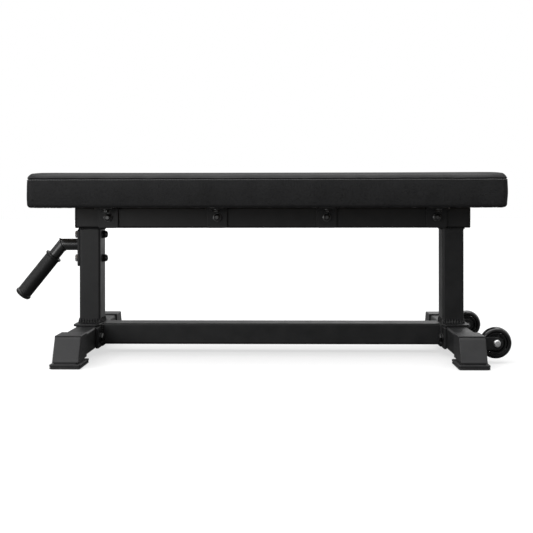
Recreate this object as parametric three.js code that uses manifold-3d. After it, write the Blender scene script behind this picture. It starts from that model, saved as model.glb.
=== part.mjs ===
// Flat weight bench: a padded board on a steel spine, two uprights, two cross feet in rubber
// boots, a lifting handle at one end and two transport wheels at the other.
// Millimetres. X runs along the bench from the handle to the wheels, Z is up, the floor is z = 0.
import * as THREE from 'three';
import { mergeVertices } from 'three/addons/utils/BufferGeometryUtils.js';
import Module from 'manifold-3d';

const wasm = await Module();
wasm.setup();

// ---------------------------------------------------------------- driving dimensions

const GAP = 0.3; // between pieces that touch
const OVERRUN = 1; // how far a cut runs past the piece it cuts
const BITE = 0.1; // how far joined shapes run into each other

// Steel tube shared by the frame
const TUBE_NARROW = 50;
const TUBE_WIDE = 70;
const TUBE_WALL = 2.5;
const TUBE_CORNER = 5;

// Frame
const UPRIGHT_SPACING = 861;
const UPRIGHT_LENGTH = 225;
const FOOT_OUTSET = 3; // foot's middle outside its upright's
const FOOT_LENGTH = 520;
const FOOT_CLEARANCE = 15; // floor to the underside of a foot tube
const SPINE_OVERHANG = 13.2; // past the uprights' outer faces
const SPINE_SHIFT = 2.5; // spine and brackets sit this far towards the wheels
const CAP_FLANGE = 3.5;
const CAP_PLUG = 14;
const BASE_PLATE = { overhang: 6, length: 130, thickness: 5, corner: 9 };
const STRINGER_LIFT = 5; // stringer's underside above the foot tube's
const END_PLATE = { length: 160, thickness: 6, boltPitch: 114, ventRadius: 12 };

// Pad and what holds it
const PAD = { overhang: 76.3, width: 304, height: 80, corner: 26, edgeIn: 16, edgeDown: 13 };
const PAD_SHIFT = -9; // pad sits this far towards the handle
const SKIN = 1.6;
const HEM = { width: 28, thickness: 2, corner: 6 };
const BOARD_THICKNESS = 15;
const BRACKET = { width: 48, reach: 60, thickness: 5, bend: 6, corner: 6, chamfer: 5, boltOut: 35 };
const BRACKET_INSET = 80.2; // from the spine's end to the middle of the last bracket
const BRACKET_ROW = [0, 1, 2, 3];

// Fasteners: thread radius, width across flats, head height, washer and nut
const M8 = { thread: 4, hole: 4.5, flats: 13, head: 5.3, washer: 8.4, washerHeight: 1.6, nut: 6.5 };
const M10 = { thread: 5, hole: 5.5, flats: 17, head: 6.4, washer: 10, washerHeight: 2, nut: 9.5 };
const THREAD_END = 2.2; // thread left standing out of a nut
const HANDLE_HEAD = 8;
const NUT_FLATS = 0.7; // share of a lock nut's height that is hexagonal
const NUT_COLLAR = 0.44; // collar's radius over the nut's flats
const PAD_BOLT_IN_BOARD = 11;
const STRINGER_BOLT_IN_FOOT = 22;

// Boots on the foot tubes; toe and slope are measured past the tube's end
const BOOT = { wall: 3.2, lid: 3.7, grip: 59, slopeTop: 7, slopeFoot: 33, edge: 2 };
const SOLE = { width: 67, toe: 40, height: 13.5, corner: 4 };

// Lifting handle on the left upright
const HANDLE = { belowTop: 39.6, tubeRadius: 14, tubeWall: 2.5, arm: 46.5, drop: 51, length: 150 };
const HANDLE_PLATE = { height: 88, width: 56, thickness: 6, corner: 6, drop: 7, boltDrop: 4, boltPitch: 57 };
const GRIP = { start: 34, length: 127, radius: 17.6, collar: 6, flangeRadius: 19.6, dome: 6 };

// Transport wheels behind the right foot
const WHEEL = { radius: 35, width: 24, hubRadius: 23.2, boreClearance: 0.06, backClearance: 2.2 };
const AXLE = { lift: 4.5, headRadius: 8.2, headHeight: 5 }; // lift is above the foot tube's middle
const FORK = { thickness: 3.5, height: 28, wheelGap: 0.7 };
const HUB = { boss: 11, bossWidth: 24.4, web: 7, rimInner: 19.5, rimWidth: 17 };

const ROUND = 24; // sides of a turned piece
const SMALL_ROUND = 16; // sides of a fastener or a hole
const CORNER_STEPS = 3; // flats that make up a quarter round

// ---------------------------------------------------------------- derived positions

const footSpacing = UPRIGHT_SPACING + 2 * FOOT_OUTSET;
const spineLength = UPRIGHT_SPACING + TUBE_NARROW + 2 * SPINE_OVERHANG;
const padLength = spineLength + 2 * PAD.overhang;
const bracketPitch = (spineLength - 2 * BRACKET_INSET) / (BRACKET_ROW.length - 1);
const footTop = FOOT_CLEARANCE + TUBE_NARROW;
const basePlateTop = footTop + GAP + BASE_PLATE.thickness;
const uprightFoot = basePlateTop + GAP;
const uprightTop = uprightFoot + UPRIGHT_LENGTH;
const spineUnderside = uprightTop + GAP;
const spineTop = spineUnderside + TUBE_NARROW;
const spineMiddle = spineUnderside + TUBE_NARROW / 2;
const boardUnderside = spineTop + GAP;
const padTop = spineTop + PAD.height - HEM.thickness;
const stringerUnderside = FOOT_CLEARANCE + STRINGER_LIFT;
const footMiddle = FOOT_CLEARANCE + TUBE_NARROW / 2;
const footEnd = FOOT_LENGTH / 2;
const sleeveStart = footEnd - BOOT.grip;
const handleHeight = uprightTop - HANDLE.belowTop;
const sides = [-1, 1];

// ---------------------------------------------------------------- materials

const finish = (color, roughness, metalness) =>
  new THREE.MeshStandardMaterial({ color, roughness, metalness });
const materials = {
  paint: finish(0x17181a, 0.42, 0.2),
  vinyl: finish(0x151517, 0.5, 0),
  foam: finish(0xd8cfa8, 0.95, 0),
  wood: finish(0xb08a5c, 0.8, 0),
  rubber: finish(0x1b1b1c, 0.75, 0),
  plastic: finish(0x141415, 0.55, 0),
  zinc: finish(0xb9bcbf, 0.32, 1),
  blackZinc: finish(0x3a3b3d, 0.4, 1),
  urethane: finish(0x0d0d0e, 0.15, 0),
  hub: finish(0x161617, 0.45, 0),
};

// ---------------------------------------------------------------- solids and outlines

/** Closed geometry as a solid that can be joined and cut. */
function solid(geometry) {
  const bare = geometry.clone();
  bare.deleteAttribute('normal');
  bare.deleteAttribute('uv');
  const merged = mergeVertices(bare, 1e-4);
  const mesh = new wasm.Mesh({
    numProp: 3,
    vertProperties: new Float32Array(merged.attributes.position.array),
    triVerts: new Uint32Array(merged.index.array),
  });
  return new wasm.Manifold(mesh);
}

/** Solid back as a geometry. */
function geometryOf(manifold) {
  const mesh = manifold.getMesh();
  const geometry = new THREE.BufferGeometry();
  geometry.setAttribute('position', new THREE.BufferAttribute(new Float32Array(mesh.vertProperties), 3));
  geometry.setIndex(new THREE.BufferAttribute(new Uint32Array(mesh.triVerts), 1));
  geometry.computeVertexNormals();
  return geometry;
}

/** First geometry less all the others. */
function cut(geometry, ...tools) {
  return geometryOf(tools.reduce((body, tool) => body.subtract(solid(tool)), solid(geometry)));
}

/** All the geometries joined into one. */
function join(geometry, ...more) {
  return geometryOf(more.reduce((body, other) => body.add(solid(other)), solid(geometry)));
}

/** What two geometries have in common. */
function overlap(first, second) {
  return geometryOf(solid(first).intersect(solid(second)));
}

/** Rectangle with round corners, centred on the origin. */
function roundedRectangle(width, height, radius, Outline = THREE.Shape) {
  const x = width / 2 - radius;
  const y = height / 2 - radius;
  const outline = new Outline();
  outline.absarc(x, y, radius, 0, Math.PI / 2);
  outline.absarc(-x, y, radius, Math.PI / 2, Math.PI);
  outline.absarc(-x, -y, radius, Math.PI, 1.5 * Math.PI);
  outline.absarc(x, -y, radius, 1.5 * Math.PI, 2 * Math.PI);
  outline.closePath();
  return outline;
}

/** Outline extruded along Z, centred on z = 0. */
function prism(outline, length, curveSegments = CORNER_STEPS) {
  const geometry = new THREE.ExtrudeGeometry(outline, { depth: length, bevelEnabled: false, curveSegments });
  return geometry.translate(0, 0, -length / 2);
}

/** Rectangular tube along Z: round corners outside, wall of even thickness. */
function tube(width, height, length) {
  const outline = roundedRectangle(width, height, TUBE_CORNER);
  const inside = TUBE_WALL * 2;
  outline.holes.push(roundedRectangle(width - inside, height - inside, TUBE_CORNER - TUBE_WALL, THREE.Path));
  return prism(outline, length);
}

/** Turns a geometry so that its Z axis lies along X, its x along Y and its y along Z. */
function alongX(geometry) {
  return geometry.applyMatrix4(new THREE.Matrix4().set(0, 0, 1, 0, 1, 0, 0, 0, 0, 1, 0, 0, 0, 0, 0, 1));
}

/** Turns a geometry so that its Z axis lies along -Y, its x stays and its y goes up Z. */
function alongY(geometry) {
  return geometry.rotateX(Math.PI / 2);
}

/** Box from its size and its middle. */
function block(width, depth, height, x, y, z) {
  return new THREE.BoxGeometry(width, depth, height).translate(x, y, z);
}

/** Round rod along Z from z = from to z = to. */
function rod(radius, from, to, segments = SMALL_ROUND) {
  const geometry = new THREE.CylinderGeometry(radius, radius, to - from, segments);
  return geometry.rotateX(Math.PI / 2).translate(0, 0, (from + to) / 2);
}

/** Hexagonal prism along Z, measured across its flats. */
function hexagon(flats, from, to) {
  return rod(flats / Math.sqrt(3), from, to, 6);
}

/** Piece turned about Z from a profile of [radius, z] points that closes on itself or on the axis. */
function turned(points, segments = ROUND) {
  const profile = points.map(([radius, z]) => new THREE.Vector2(radius, z));
  return new THREE.LatheGeometry(profile, segments).rotateX(Math.PI / 2);
}

/** Points of an arc in a profile, from one angle to another, in degrees. */
function arc(radius, z, size, from, to, steps, squash = 1) {
  return Array.from({ length: steps + 1 }, (unused, i) => {
    const angle = THREE.MathUtils.degToRad(from + ((to - from) * i) / steps);
    return [radius + size * Math.cos(angle), z + size * squash * Math.sin(angle)];
  });
}

const bench = new THREE.Group();

/** Adds a named mesh to a group and hands it back for placing. */
function piece(name, geometry, material, parent = bench) {
  const mesh = new THREE.Mesh(geometry, material);
  mesh.name = name;
  parent.add(mesh);
  return mesh;
}

// ---------------------------------------------------------------- fasteners

/** Hex bolt along +Z: its washer bears on z = 0, its thread reaches z = reach. */
function hexBolt(size, reach, headHeight = size.head) {
  const headTop = -GAP - size.washerHeight;
  return join(
    rod(size.thread, headTop - BITE, reach),
    rod(size.washer, headTop, -GAP),
    hexagon(size.flats, headTop - headHeight, headTop + BITE),
  );
}

/** Locking nut on its washer along +Z from z = 0, bored to clear the thread. */
function lockNut(size) {
  const washerTop = GAP + size.washerHeight;
  const flatsTop = washerTop + size.nut * NUT_FLATS;
  const bore = rod(size.thread + GAP, -OVERRUN, washerTop + size.nut + OVERRUN);
  const collar = rod(size.flats * NUT_COLLAR, flatsTop - BITE, washerTop + size.nut);
  const washer = rod(size.washer, GAP, washerTop);
  return cut(join(washer, hexagon(size.flats, washerTop - BITE, flatsTop), collar), bore);
}

/** How far a bolt reaches past what it clamps to stand out of its nut. */
function nutReach(size) {
  return GAP + size.washerHeight + size.nut + THREAD_END;
}

// ---------------------------------------------------------------- feet, uprights, stringer

const stringerBoltSides = sides.map((side) => (side * END_PLATE.boltPitch) / 2);

/** Cross tube of a foot, drilled for the stringer's bolts in its inner wall (on its +X side). */
function footTube() {
  const drill = () => alongX(rod(M10.hole, TUBE_NARROW / 2 - 2 * TUBE_WALL, TUBE_NARROW / 2 + OVERRUN));
  const holes = stringerBoltSides.map((y) => drill().translate(0, y, 0));
  return cut(alongY(tube(TUBE_NARROW, TUBE_NARROW, FOOT_LENGTH)), ...holes);
}

/** Slip-on boot for the +Y end of a foot: sleeve with a sloped toe, on a wider sole. */
function boot() {
  const sleeveWidth = TUBE_NARROW + 2 * BOOT.wall;
  const sleeveTop = footTop + BOOT.lid;
  const slopeTop = footEnd + BOOT.slopeTop;
  const slopeFoot = footEnd + BOOT.slopeFoot;
  const profile = new THREE.Shape();
  profile.moveTo(sleeveStart, SOLE.height - OVERRUN);
  profile.lineTo(slopeFoot, SOLE.height - OVERRUN);
  profile.lineTo(slopeFoot, SOLE.height);
  profile.lineTo(slopeTop, sleeveTop - BOOT.edge);
  profile.lineTo(slopeTop - BOOT.edge, sleeveTop);
  profile.lineTo(sleeveStart, sleeveTop);
  const sleeve = overlap(
    alongX(prism(profile, sleeveWidth)),
    alongY(prism(roundedRectangle(sleeveWidth, 2 * sleeveTop, BOOT.edge * 1.5), 4 * slopeFoot)),
  );
  const soleLength = footEnd + SOLE.toe - sleeveStart;
  const outline = roundedRectangle(SOLE.width, soleLength, SOLE.corner);
  const sole = prism(outline, SOLE.height).translate(0, sleeveStart + soleLength / 2, SOLE.height / 2);
  const inside = (TUBE_NARROW / 2 + GAP) * 2;
  const pocketLength = footEnd + GAP - sleeveStart + OVERRUN;
  const pocketStart = sleeveStart - OVERRUN;
  const pocket = block(inside, pocketLength, inside, 0, pocketStart + pocketLength / 2, footMiddle);
  return cut(join(sleeve, sole), pocket);
}

const footShape = footTube();
const bootShape = boot();
const basePlateShape = prism(
  roundedRectangle(TUBE_NARROW + 2 * BASE_PLATE.overhang, BASE_PLATE.length, BASE_PLATE.corner),
  BASE_PLATE.thickness,
);

for (const [end, side] of [['left', -1], ['right', 1]]) {
  const foot = new THREE.Group();
  foot.position.x = (side * footSpacing) / 2;
  foot.rotation.z = side === 1 ? Math.PI : 0;
  bench.add(foot);
  piece(`foot_tube_${end}`, footShape, materials.paint, foot).position.z = footMiddle;
  const basePlate = piece(`base_plate_${end}`, basePlateShape, materials.paint, foot);
  basePlate.position.z = footTop + GAP + BASE_PLATE.thickness / 2;
  for (const [place, turn] of [['front', Math.PI], ['rear', 0]]) {
    const shoe = piece(`boot_${end}_${place}`, bootShape, materials.rubber, foot);
    shoe.rotation.z = turn - foot.rotation.z;
  }
}

const handleBoltMiddle = handleHeight - HANDLE_PLATE.boltDrop;
const handleBoltHeights = sides.map((side) => handleBoltMiddle + (side * HANDLE_PLATE.boltPitch) / 2);

const uprightMiddle = (uprightFoot + uprightTop) / 2;
const plainUpright = tube(TUBE_NARROW, TUBE_WIDE, UPRIGHT_LENGTH);
const handleHoles = handleBoltHeights.map((height) =>
  alongX(rod(M10.hole, -TUBE_NARROW, TUBE_NARROW)).translate(0, 0, height - uprightMiddle));
piece('upright_left', cut(plainUpright, ...handleHoles), materials.paint)
  .position.set(-UPRIGHT_SPACING / 2, 0, uprightMiddle);
piece('upright_right', plainUpright, materials.paint).position.set(UPRIGHT_SPACING / 2, 0, uprightMiddle);

/** Stringer with its welded end plates; each plate is vented behind the foot and drilled for its bolts. */
function stringer() {
  const plateOuter = footSpacing / 2 - TUBE_NARROW / 2 - GAP;
  const plateInner = plateOuter - END_PLATE.thickness;
  const plateHeight = TUBE_NARROW - GAP;
  const beam = alongX(tube(TUBE_WIDE, TUBE_NARROW, 2 * (plateInner + BITE)));
  const plateMiddle = (plateOuter + plateInner) / 2;
  const plateDrop = FOOT_CLEARANCE + plateHeight / 2 - stringerUnderside - TUBE_NARROW / 2;
  const plates = sides.map((side) =>
    block(END_PLATE.thickness, END_PLATE.length, plateHeight, side * plateMiddle, 0, plateDrop));
  const drillEnd = plateOuter + OVERRUN;
  const holes = stringerBoltSides.map((y) =>
    alongX(rod(M10.hole, -drillEnd, drillEnd)).translate(0, y, -STRINGER_LIFT));
  const vent = alongX(rod(END_PLATE.ventRadius, -drillEnd, drillEnd));
  return cut(join(beam, ...plates), ...holes, vent);
}

piece('stringer', stringer(), materials.paint).position.z = stringerUnderside + TUBE_NARROW / 2;

const plateFace = footSpacing / 2 - TUBE_NARROW / 2 - GAP - END_PLATE.thickness;
const stringerBoltShape = alongX(hexBolt(M10, END_PLATE.thickness + GAP + STRINGER_BOLT_IN_FOOT));
for (const [end, side] of [['left', -1], ['right', 1]]) {
  for (const [place, y] of [['front', stringerBoltSides[0]], ['rear', stringerBoltSides[1]]]) {
    const bolt = piece(`stringer_bolt_${end}_${place}`, stringerBoltShape, materials.blackZinc);
    bolt.position.set(side * plateFace, y, footMiddle);
    bolt.rotation.z = side === 1 ? 0 : Math.PI;
  }
}

// ---------------------------------------------------------------- spine and pad brackets

const bracketPlaces = BRACKET_ROW.map((i) => SPINE_SHIFT + (i - (BRACKET_ROW.length - 1) / 2) * bracketPitch);
const spineTubeLength = spineLength - 2 * (CAP_FLANGE + GAP);
const boltHoles = bracketPlaces.map((x) =>
  alongY(rod(M10.hole, -TUBE_WIDE, TUBE_WIDE)).translate(x - SPINE_SHIFT, 0, 0));
piece('spine_beam', cut(alongX(tube(TUBE_WIDE, TUBE_NARROW, spineTubeLength)), ...boltHoles), materials.paint)
  .position.set(SPINE_SHIFT, 0, spineMiddle);

/** End cap of the spine: a flange with a plug that slides into the tube, along +X. */
function spineCap() {
  const flange = prism(roundedRectangle(TUBE_WIDE, TUBE_NARROW, TUBE_CORNER), CAP_FLANGE);
  const inset = 2 * (TUBE_WALL + GAP);
  const bore = roundedRectangle(TUBE_WIDE - inset, TUBE_NARROW - inset, TUBE_CORNER - TUBE_WALL);
  const plug = prism(bore, CAP_PLUG);
  return alongX(join(flange.translate(0, 0, CAP_FLANGE / 2), plug.translate(0, 0, BITE - CAP_PLUG / 2)));
}

const capShape = spineCap();
for (const [end, side] of [['left', -1], ['right', 1]]) {
  const cap = piece(`spine_cap_${end}`, capShape, materials.plastic);
  cap.position.set(SPINE_SHIFT + side * (spineTubeLength / 2 + GAP), 0, spineMiddle);
  cap.rotation.z = side === 1 ? 0 : Math.PI;
}

/** Bent angle bracket on the spine's +Y side: a leg down the spine and a shelf out under the pad. */
function padBracket() {
  const { width, reach, thickness, bend, corner, chamfer, boltOut } = BRACKET;
  const top = TUBE_NARROW / 2;
  const profile = new THREE.Shape();
  profile.moveTo(0, -top);
  profile.lineTo(thickness, -top);
  profile.lineTo(thickness, top - bend);
  profile.absarc(bend, top - bend, bend - thickness, Math.PI, Math.PI / 2, true);
  profile.lineTo(reach, top - thickness);
  profile.lineTo(reach, top);
  profile.lineTo(bend, top);
  profile.absarc(bend, top - bend, bend, Math.PI / 2, Math.PI);
  const angle = alongX(prism(profile, width));
  const face = roundedRectangle(width, TUBE_NARROW, corner);
  const legEnds = alongY(prism(face, 4 * reach));
  const plan = new THREE.Shape();
  plan.moveTo(-width / 2, -OVERRUN);
  plan.lineTo(width / 2, -OVERRUN);
  plan.lineTo(width / 2, reach - chamfer * 2);
  plan.lineTo(width / 2 - chamfer, reach);
  plan.lineTo(chamfer - width / 2, reach);
  plan.lineTo(-width / 2, reach - chamfer * 2);
  const shelf = prism(plan, 2 * TUBE_NARROW);
  const headroom = block(width, reach, top, 0, reach / 2, top / 2);
  const trimmed = overlap(overlap(angle, join(legEnds, headroom)), shelf);
  const bolt = alongY(rod(M10.hole, -reach, reach));
  const padBolt = rod(M8.hole, 0, TUBE_NARROW).translate(0, boltOut, 0);
  return cut(trimmed, bolt, padBolt);
}

const bracketShape = padBracket();
const bracketFace = TUBE_WIDE / 2 + GAP + BRACKET.thickness;
const spineBoltShape = alongY(hexBolt(M10, 2 * bracketFace + nutReach(M10)));
const spineNutShape = alongY(lockNut(M10));
const padBoltShape = hexBolt(M8, BRACKET.thickness + GAP + PAD_BOLT_IN_BOARD);
const padBoltSide = TUBE_WIDE / 2 + GAP + BRACKET.boltOut;

bracketPlaces.forEach((x, i) => {
  for (const [place, turn, side] of [['front', Math.PI, -1], ['rear', 0, 1]]) {
    const bracket = piece(`pad_bracket_${place}_${i + 1}`, bracketShape, materials.paint);
    bracket.position.set(x, side * (TUBE_WIDE / 2 + GAP), spineMiddle);
    bracket.rotation.z = turn;
    const padBolt = piece(`pad_bolt_${place}_${i + 1}`, padBoltShape, materials.zinc);
    padBolt.position.set(x, side * padBoltSide, spineTop - BRACKET.thickness);
  }
  piece(`spine_bolt_${i + 1}`, spineBoltShape, materials.blackZinc).position.set(x, bracketFace, spineMiddle);
  piece(`spine_nut_${i + 1}`, spineNutShape, materials.blackZinc).position.set(x, -bracketFace, spineMiddle);
});

// ---------------------------------------------------------------- pad

/** Plump slab: round plan corners and rounded upper edges, from z = bottom to z = top. */
function slab(inset, bottom, top) {
  const drawnIn = inset + PAD.edgeIn; // the bevel lets the outline out again
  const plan = roundedRectangle(padLength - 2 * drawnIn, PAD.width - 2 * drawnIn, PAD.corner - drawnIn);
  const geometry = new THREE.ExtrudeGeometry(plan, {
    depth: top - bottom,
    bevelEnabled: true,
    bevelSize: PAD.edgeIn,
    bevelThickness: PAD.edgeDown,
    bevelSegments: 4,
    curveSegments: CORNER_STEPS,
  });
  const whole = geometry.translate(0, 0, bottom - PAD.edgeDown);
  const room = block(padLength, PAD.width, top - bottom, 0, 0, (top + bottom) / 2);
  return overlap(whole, room);
}

/** Straight-sided slab with the pad's plan, drawn in by an inset. */
function sheet(inset, bottom, top) {
  const corner = Math.max(PAD.corner - inset, HEM.corner);
  const plan = roundedRectangle(padLength - 2 * inset, PAD.width - 2 * inset, corner);
  return prism(plan, top - bottom).translate(0, 0, (top + bottom) / 2);
}

const hemTop = spineTop;
const boardTop = boardUnderside + BOARD_THICKNESS;
const coverUnderside = hemTop - HEM.thickness;
const cover = cut(
  slab(0, coverUnderside, padTop),
  slab(SKIN, hemTop, padTop - SKIN),
  sheet(HEM.width, coverUnderside - OVERRUN, hemTop + OVERRUN),
);
piece('pad_cover', cover, materials.vinyl).position.x = PAD_SHIFT;
const foam = slab(SKIN + GAP, boardTop + GAP, padTop - SKIN - GAP);
piece('pad_foam', foam, materials.foam).position.x = PAD_SHIFT;

const pilotTop = boardUnderside + PAD_BOLT_IN_BOARD + GAP;
const pilots = bracketPlaces.flatMap((x) =>
  sides.map((side) =>
    rod(M8.hole, boardUnderside - OVERRUN, pilotTop).translate(x - PAD_SHIFT, side * padBoltSide, 0)));
piece('pad_board', cut(sheet(SKIN + GAP, boardUnderside, boardTop), ...pilots), materials.wood)
  .position.x = PAD_SHIFT;

// ---------------------------------------------------------------- lifting handle

const handleSide = -UPRIGHT_SPACING / 2 - TUBE_NARROW / 2 - GAP; // the plate's inner face
const handle = new THREE.Group();
handle.position.x = handleSide;
bench.add(handle);

const plateHoles = handleBoltHeights.map((height) =>
  alongX(rod(M10.hole, -HANDLE_PLATE.thickness - OVERRUN, OVERRUN)).translate(0, 0, height));
const handlePlate = alongX(prism(
  roundedRectangle(HANDLE_PLATE.width, HANDLE_PLATE.height, HANDLE_PLATE.corner),
  HANDLE_PLATE.thickness,
)).translate(-HANDLE_PLATE.thickness / 2, 0, handleHeight - HANDLE_PLATE.drop);
piece('handle_plate', cut(handlePlate, ...plateHoles), materials.paint, handle);

/** Mitred arm, solid, of one radius: out along -X, then down at the drop angle. The elbow is the origin. */
function mitredArm(radius, out, down) {
  const half = THREE.MathUtils.degToRad(HANDLE.drop / 2);
  const reach = 4 * radius;
  const side = (direction) => block(10 * reach, 10 * reach, 10 * reach, direction * 5 * reach, 0, 0)
    .translate(-direction * BITE, 0, 0).rotateY(-half);
  const level = alongX(rod(radius, -reach, out, ROUND));
  const slanted = alongX(rod(radius, -down, reach, ROUND)).rotateY(-2 * half);
  return join(overlap(level, side(1)), overlap(slanted, side(-1)));
}

const armStart = HANDLE.arm - HANDLE_PLATE.thickness - GAP;
const handleArm = cut(
  mitredArm(HANDLE.tubeRadius, armStart, HANDLE.length),
  mitredArm(HANDLE.tubeRadius - HANDLE.tubeWall, armStart + OVERRUN, HANDLE.length + OVERRUN),
);
piece('handle_tube', handleArm, materials.paint, handle).position.set(-HANDLE.arm, 0, handleHeight);

/** Moulded grip along +Z from z = 0: collar, hand length, end flange and domed end over a blind bore. */
function grip() {
  const bore = HANDLE.tubeRadius + GAP;
  const flangeFrom = GRIP.length - GRIP.collar - GRIP.dome;
  const flangeTo = GRIP.length - GRIP.dome;
  const boreEnd = HANDLE.length - GRIP.start + GAP;
  return turned([
    [0, boreEnd],
    [bore, boreEnd],
    [bore, 0],
    [GRIP.flangeRadius - 1, 0],
    [GRIP.flangeRadius, 1],
    [GRIP.flangeRadius, GRIP.collar - 1],
    [GRIP.flangeRadius - 1, GRIP.collar],
    [GRIP.radius, GRIP.collar + 0.5],
    [GRIP.radius, flangeFrom - 0.5],
    [GRIP.flangeRadius - 1, flangeFrom],
    [GRIP.flangeRadius, flangeFrom + 1],
    [GRIP.flangeRadius, flangeTo - 1],
    ...arc(0, flangeTo, GRIP.flangeRadius - 1, 0, 90, 5, GRIP.dome / (GRIP.flangeRadius - 1)).slice(0, -1),
    [0, GRIP.length],
  ]);
}

const dropAngle = THREE.MathUtils.degToRad(HANDLE.drop);
const gripMesh = piece('handle_grip', grip(), materials.rubber, handle);
gripMesh.position.set(
  -HANDLE.arm - GRIP.start * Math.cos(dropAngle), 0, handleHeight - GRIP.start * Math.sin(dropAngle),
);
gripMesh.rotation.y = -Math.PI / 2 - dropAngle;

const handleBoltShape = alongX(hexBolt(
  M10, HANDLE_PLATE.thickness + GAP + TUBE_NARROW + nutReach(M10), HANDLE_HEAD,
));
const handleNutShape = alongX(lockNut(M10));
handleBoltHeights.forEach((height, i) => {
  piece(`handle_bolt_${i + 1}`, handleBoltShape, materials.blackZinc, handle)
    .position.set(-HANDLE_PLATE.thickness, 0, height);
  piece(`handle_nut_${i + 1}`, handleNutShape, materials.blackZinc, handle)
    .position.set(GAP + TUBE_NARROW, 0, height);
});

// ---------------------------------------------------------------- transport wheels

const armGap = WHEEL.width + 2 * FORK.wheelGap;
const armOuter = armGap / 2 + FORK.thickness;
const forkBack = -(FORK.thickness + WHEEL.radius + WHEEL.backClearance); // from the axle
const axleOut = TUBE_NARROW / 2 + GAP - forkBack;
const axleSide = sleeveStart - GAP - armOuter;
const axleHeight = footMiddle + AXLE.lift;

/** Fork open towards +X with its arms' ends rounded about the axle, which is the origin along Y. */
function fork() {
  const plan = new THREE.Shape();
  const bend = FORK.thickness;
  plan.moveTo(FORK.height, -armOuter);
  plan.lineTo(FORK.height, -armGap / 2);
  plan.lineTo(forkBack + FORK.thickness, -armGap / 2);
  plan.lineTo(forkBack + FORK.thickness, armGap / 2);
  plan.lineTo(FORK.height, armGap / 2);
  plan.lineTo(FORK.height, armOuter);
  plan.lineTo(forkBack + bend, armOuter);
  plan.absarc(forkBack + bend, armOuter - bend, bend, Math.PI / 2, Math.PI);
  plan.absarc(forkBack + bend, bend - armOuter, bend, Math.PI, 1.5 * Math.PI);
  const side = new THREE.Shape();
  const half = FORK.height / 2;
  side.moveTo(forkBack - 1, -half);
  side.lineTo(0, -half);
  side.absarc(0, 0, half, -Math.PI / 2, Math.PI / 2);
  side.lineTo(forkBack - 1, half);
  const rounded = alongY(prism(side, 4 * armOuter, 9));
  return cut(overlap(prism(plan, FORK.height), rounded), alongY(rod(M8.hole, -2 * armOuter, 2 * armOuter)));
}

/** Axle bolt along +Z with its round head and its locknut tight on the fork's two arms. */
function axleBolt() {
  const nutEnd = armOuter + GAP + M8.nut;
  const headFace = -armOuter - GAP;
  const head = turned([
    [0, headFace - AXLE.headHeight],
    [AXLE.headRadius * 0.6, headFace - AXLE.headHeight],
    [AXLE.headRadius, headFace - AXLE.headHeight * 0.3],
    [AXLE.headRadius, headFace],
    [0, headFace],
  ], SMALL_ROUND);
  const shank = rod(M8.thread, headFace - 0.2, nutEnd + THREAD_END, ROUND);
  return join(head, shank, hexagon(M8.flats, armOuter + GAP, nutEnd));
}

/** Hub: a boss on the axle, a thin web and a rim for the tyre. */
function hub() {
  const bore = M8.thread + WHEEL.boreClearance;
  const { boss, bossWidth, web, rimInner, rimWidth } = HUB;
  const half = [
    [bore, bossWidth / 2],
    [boss - 1, bossWidth / 2],
    [boss, bossWidth / 2 - 1],
    [boss, web / 2],
    [rimInner, web / 2],
    [rimInner, rimWidth / 2],
    [WHEEL.hubRadius, rimWidth / 2],
  ];
  const mirrored = half.map(([radius, z]) => [radius, -z]).reverse();
  return turned([...half, ...mirrored, half[0]].reverse());
}

/** Tyre: its sides bulge to the wheel's width and run out to a round crown. */
function tyre() {
  const inner = WHEEL.hubRadius + GAP;
  const seatHalf = HUB.rimWidth / 2 + 1;
  const shoulder = inner + 2.5;
  const squash = WHEEL.width / 2 / (WHEEL.radius - shoulder);
  const crown = arc(shoulder, 0, WHEEL.radius - shoulder, -90, 90, 10, squash);
  return turned([[inner, -seatHalf], ...crown, [inner, seatHalf], [inner, -seatHalf]]);
}

const forkShape = fork();
const axleShape = alongY(axleBolt());
const hubShape = alongY(hub());
const tyreShape = alongY(tyre());

for (const [place, side] of [['front', -1], ['rear', 1]]) {
  const unit = new THREE.Group();
  unit.position.set(footSpacing / 2 + axleOut, side * axleSide, axleHeight);
  bench.add(unit);
  piece(`wheel_fork_${place}`, forkShape, materials.paint, unit);
  const axle = piece(`wheel_axle_${place}`, axleShape, materials.zinc, unit);
  axle.rotation.z = side === -1 ? Math.PI : 0;
  piece(`wheel_hub_${place}`, hubShape, materials.hub, unit);
  piece(`wheel_tyre_${place}`, tyreShape, materials.urethane, unit);
}

// ---------------------------------------------------------------- frame of the part

// The origin is on the floor under the middle of the bench's outer box.
bench.updateMatrixWorld(true);
const middle = new THREE.Box3().setFromObject(bench).getCenter(new THREE.Vector3());
bench.position.set(-middle.x, -middle.y, 0);

export default bench;
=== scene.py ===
"""Flat weight bench: black vinyl pad on a powder-coated steel frame, with a handle and two wheels.

Shapes are worked out in millimetres as grids of points and written to meshes in metres.
X runs from the handle to the wheels, -Y is the long side with the spine's nuts, Z is up.
"""
import math

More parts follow.
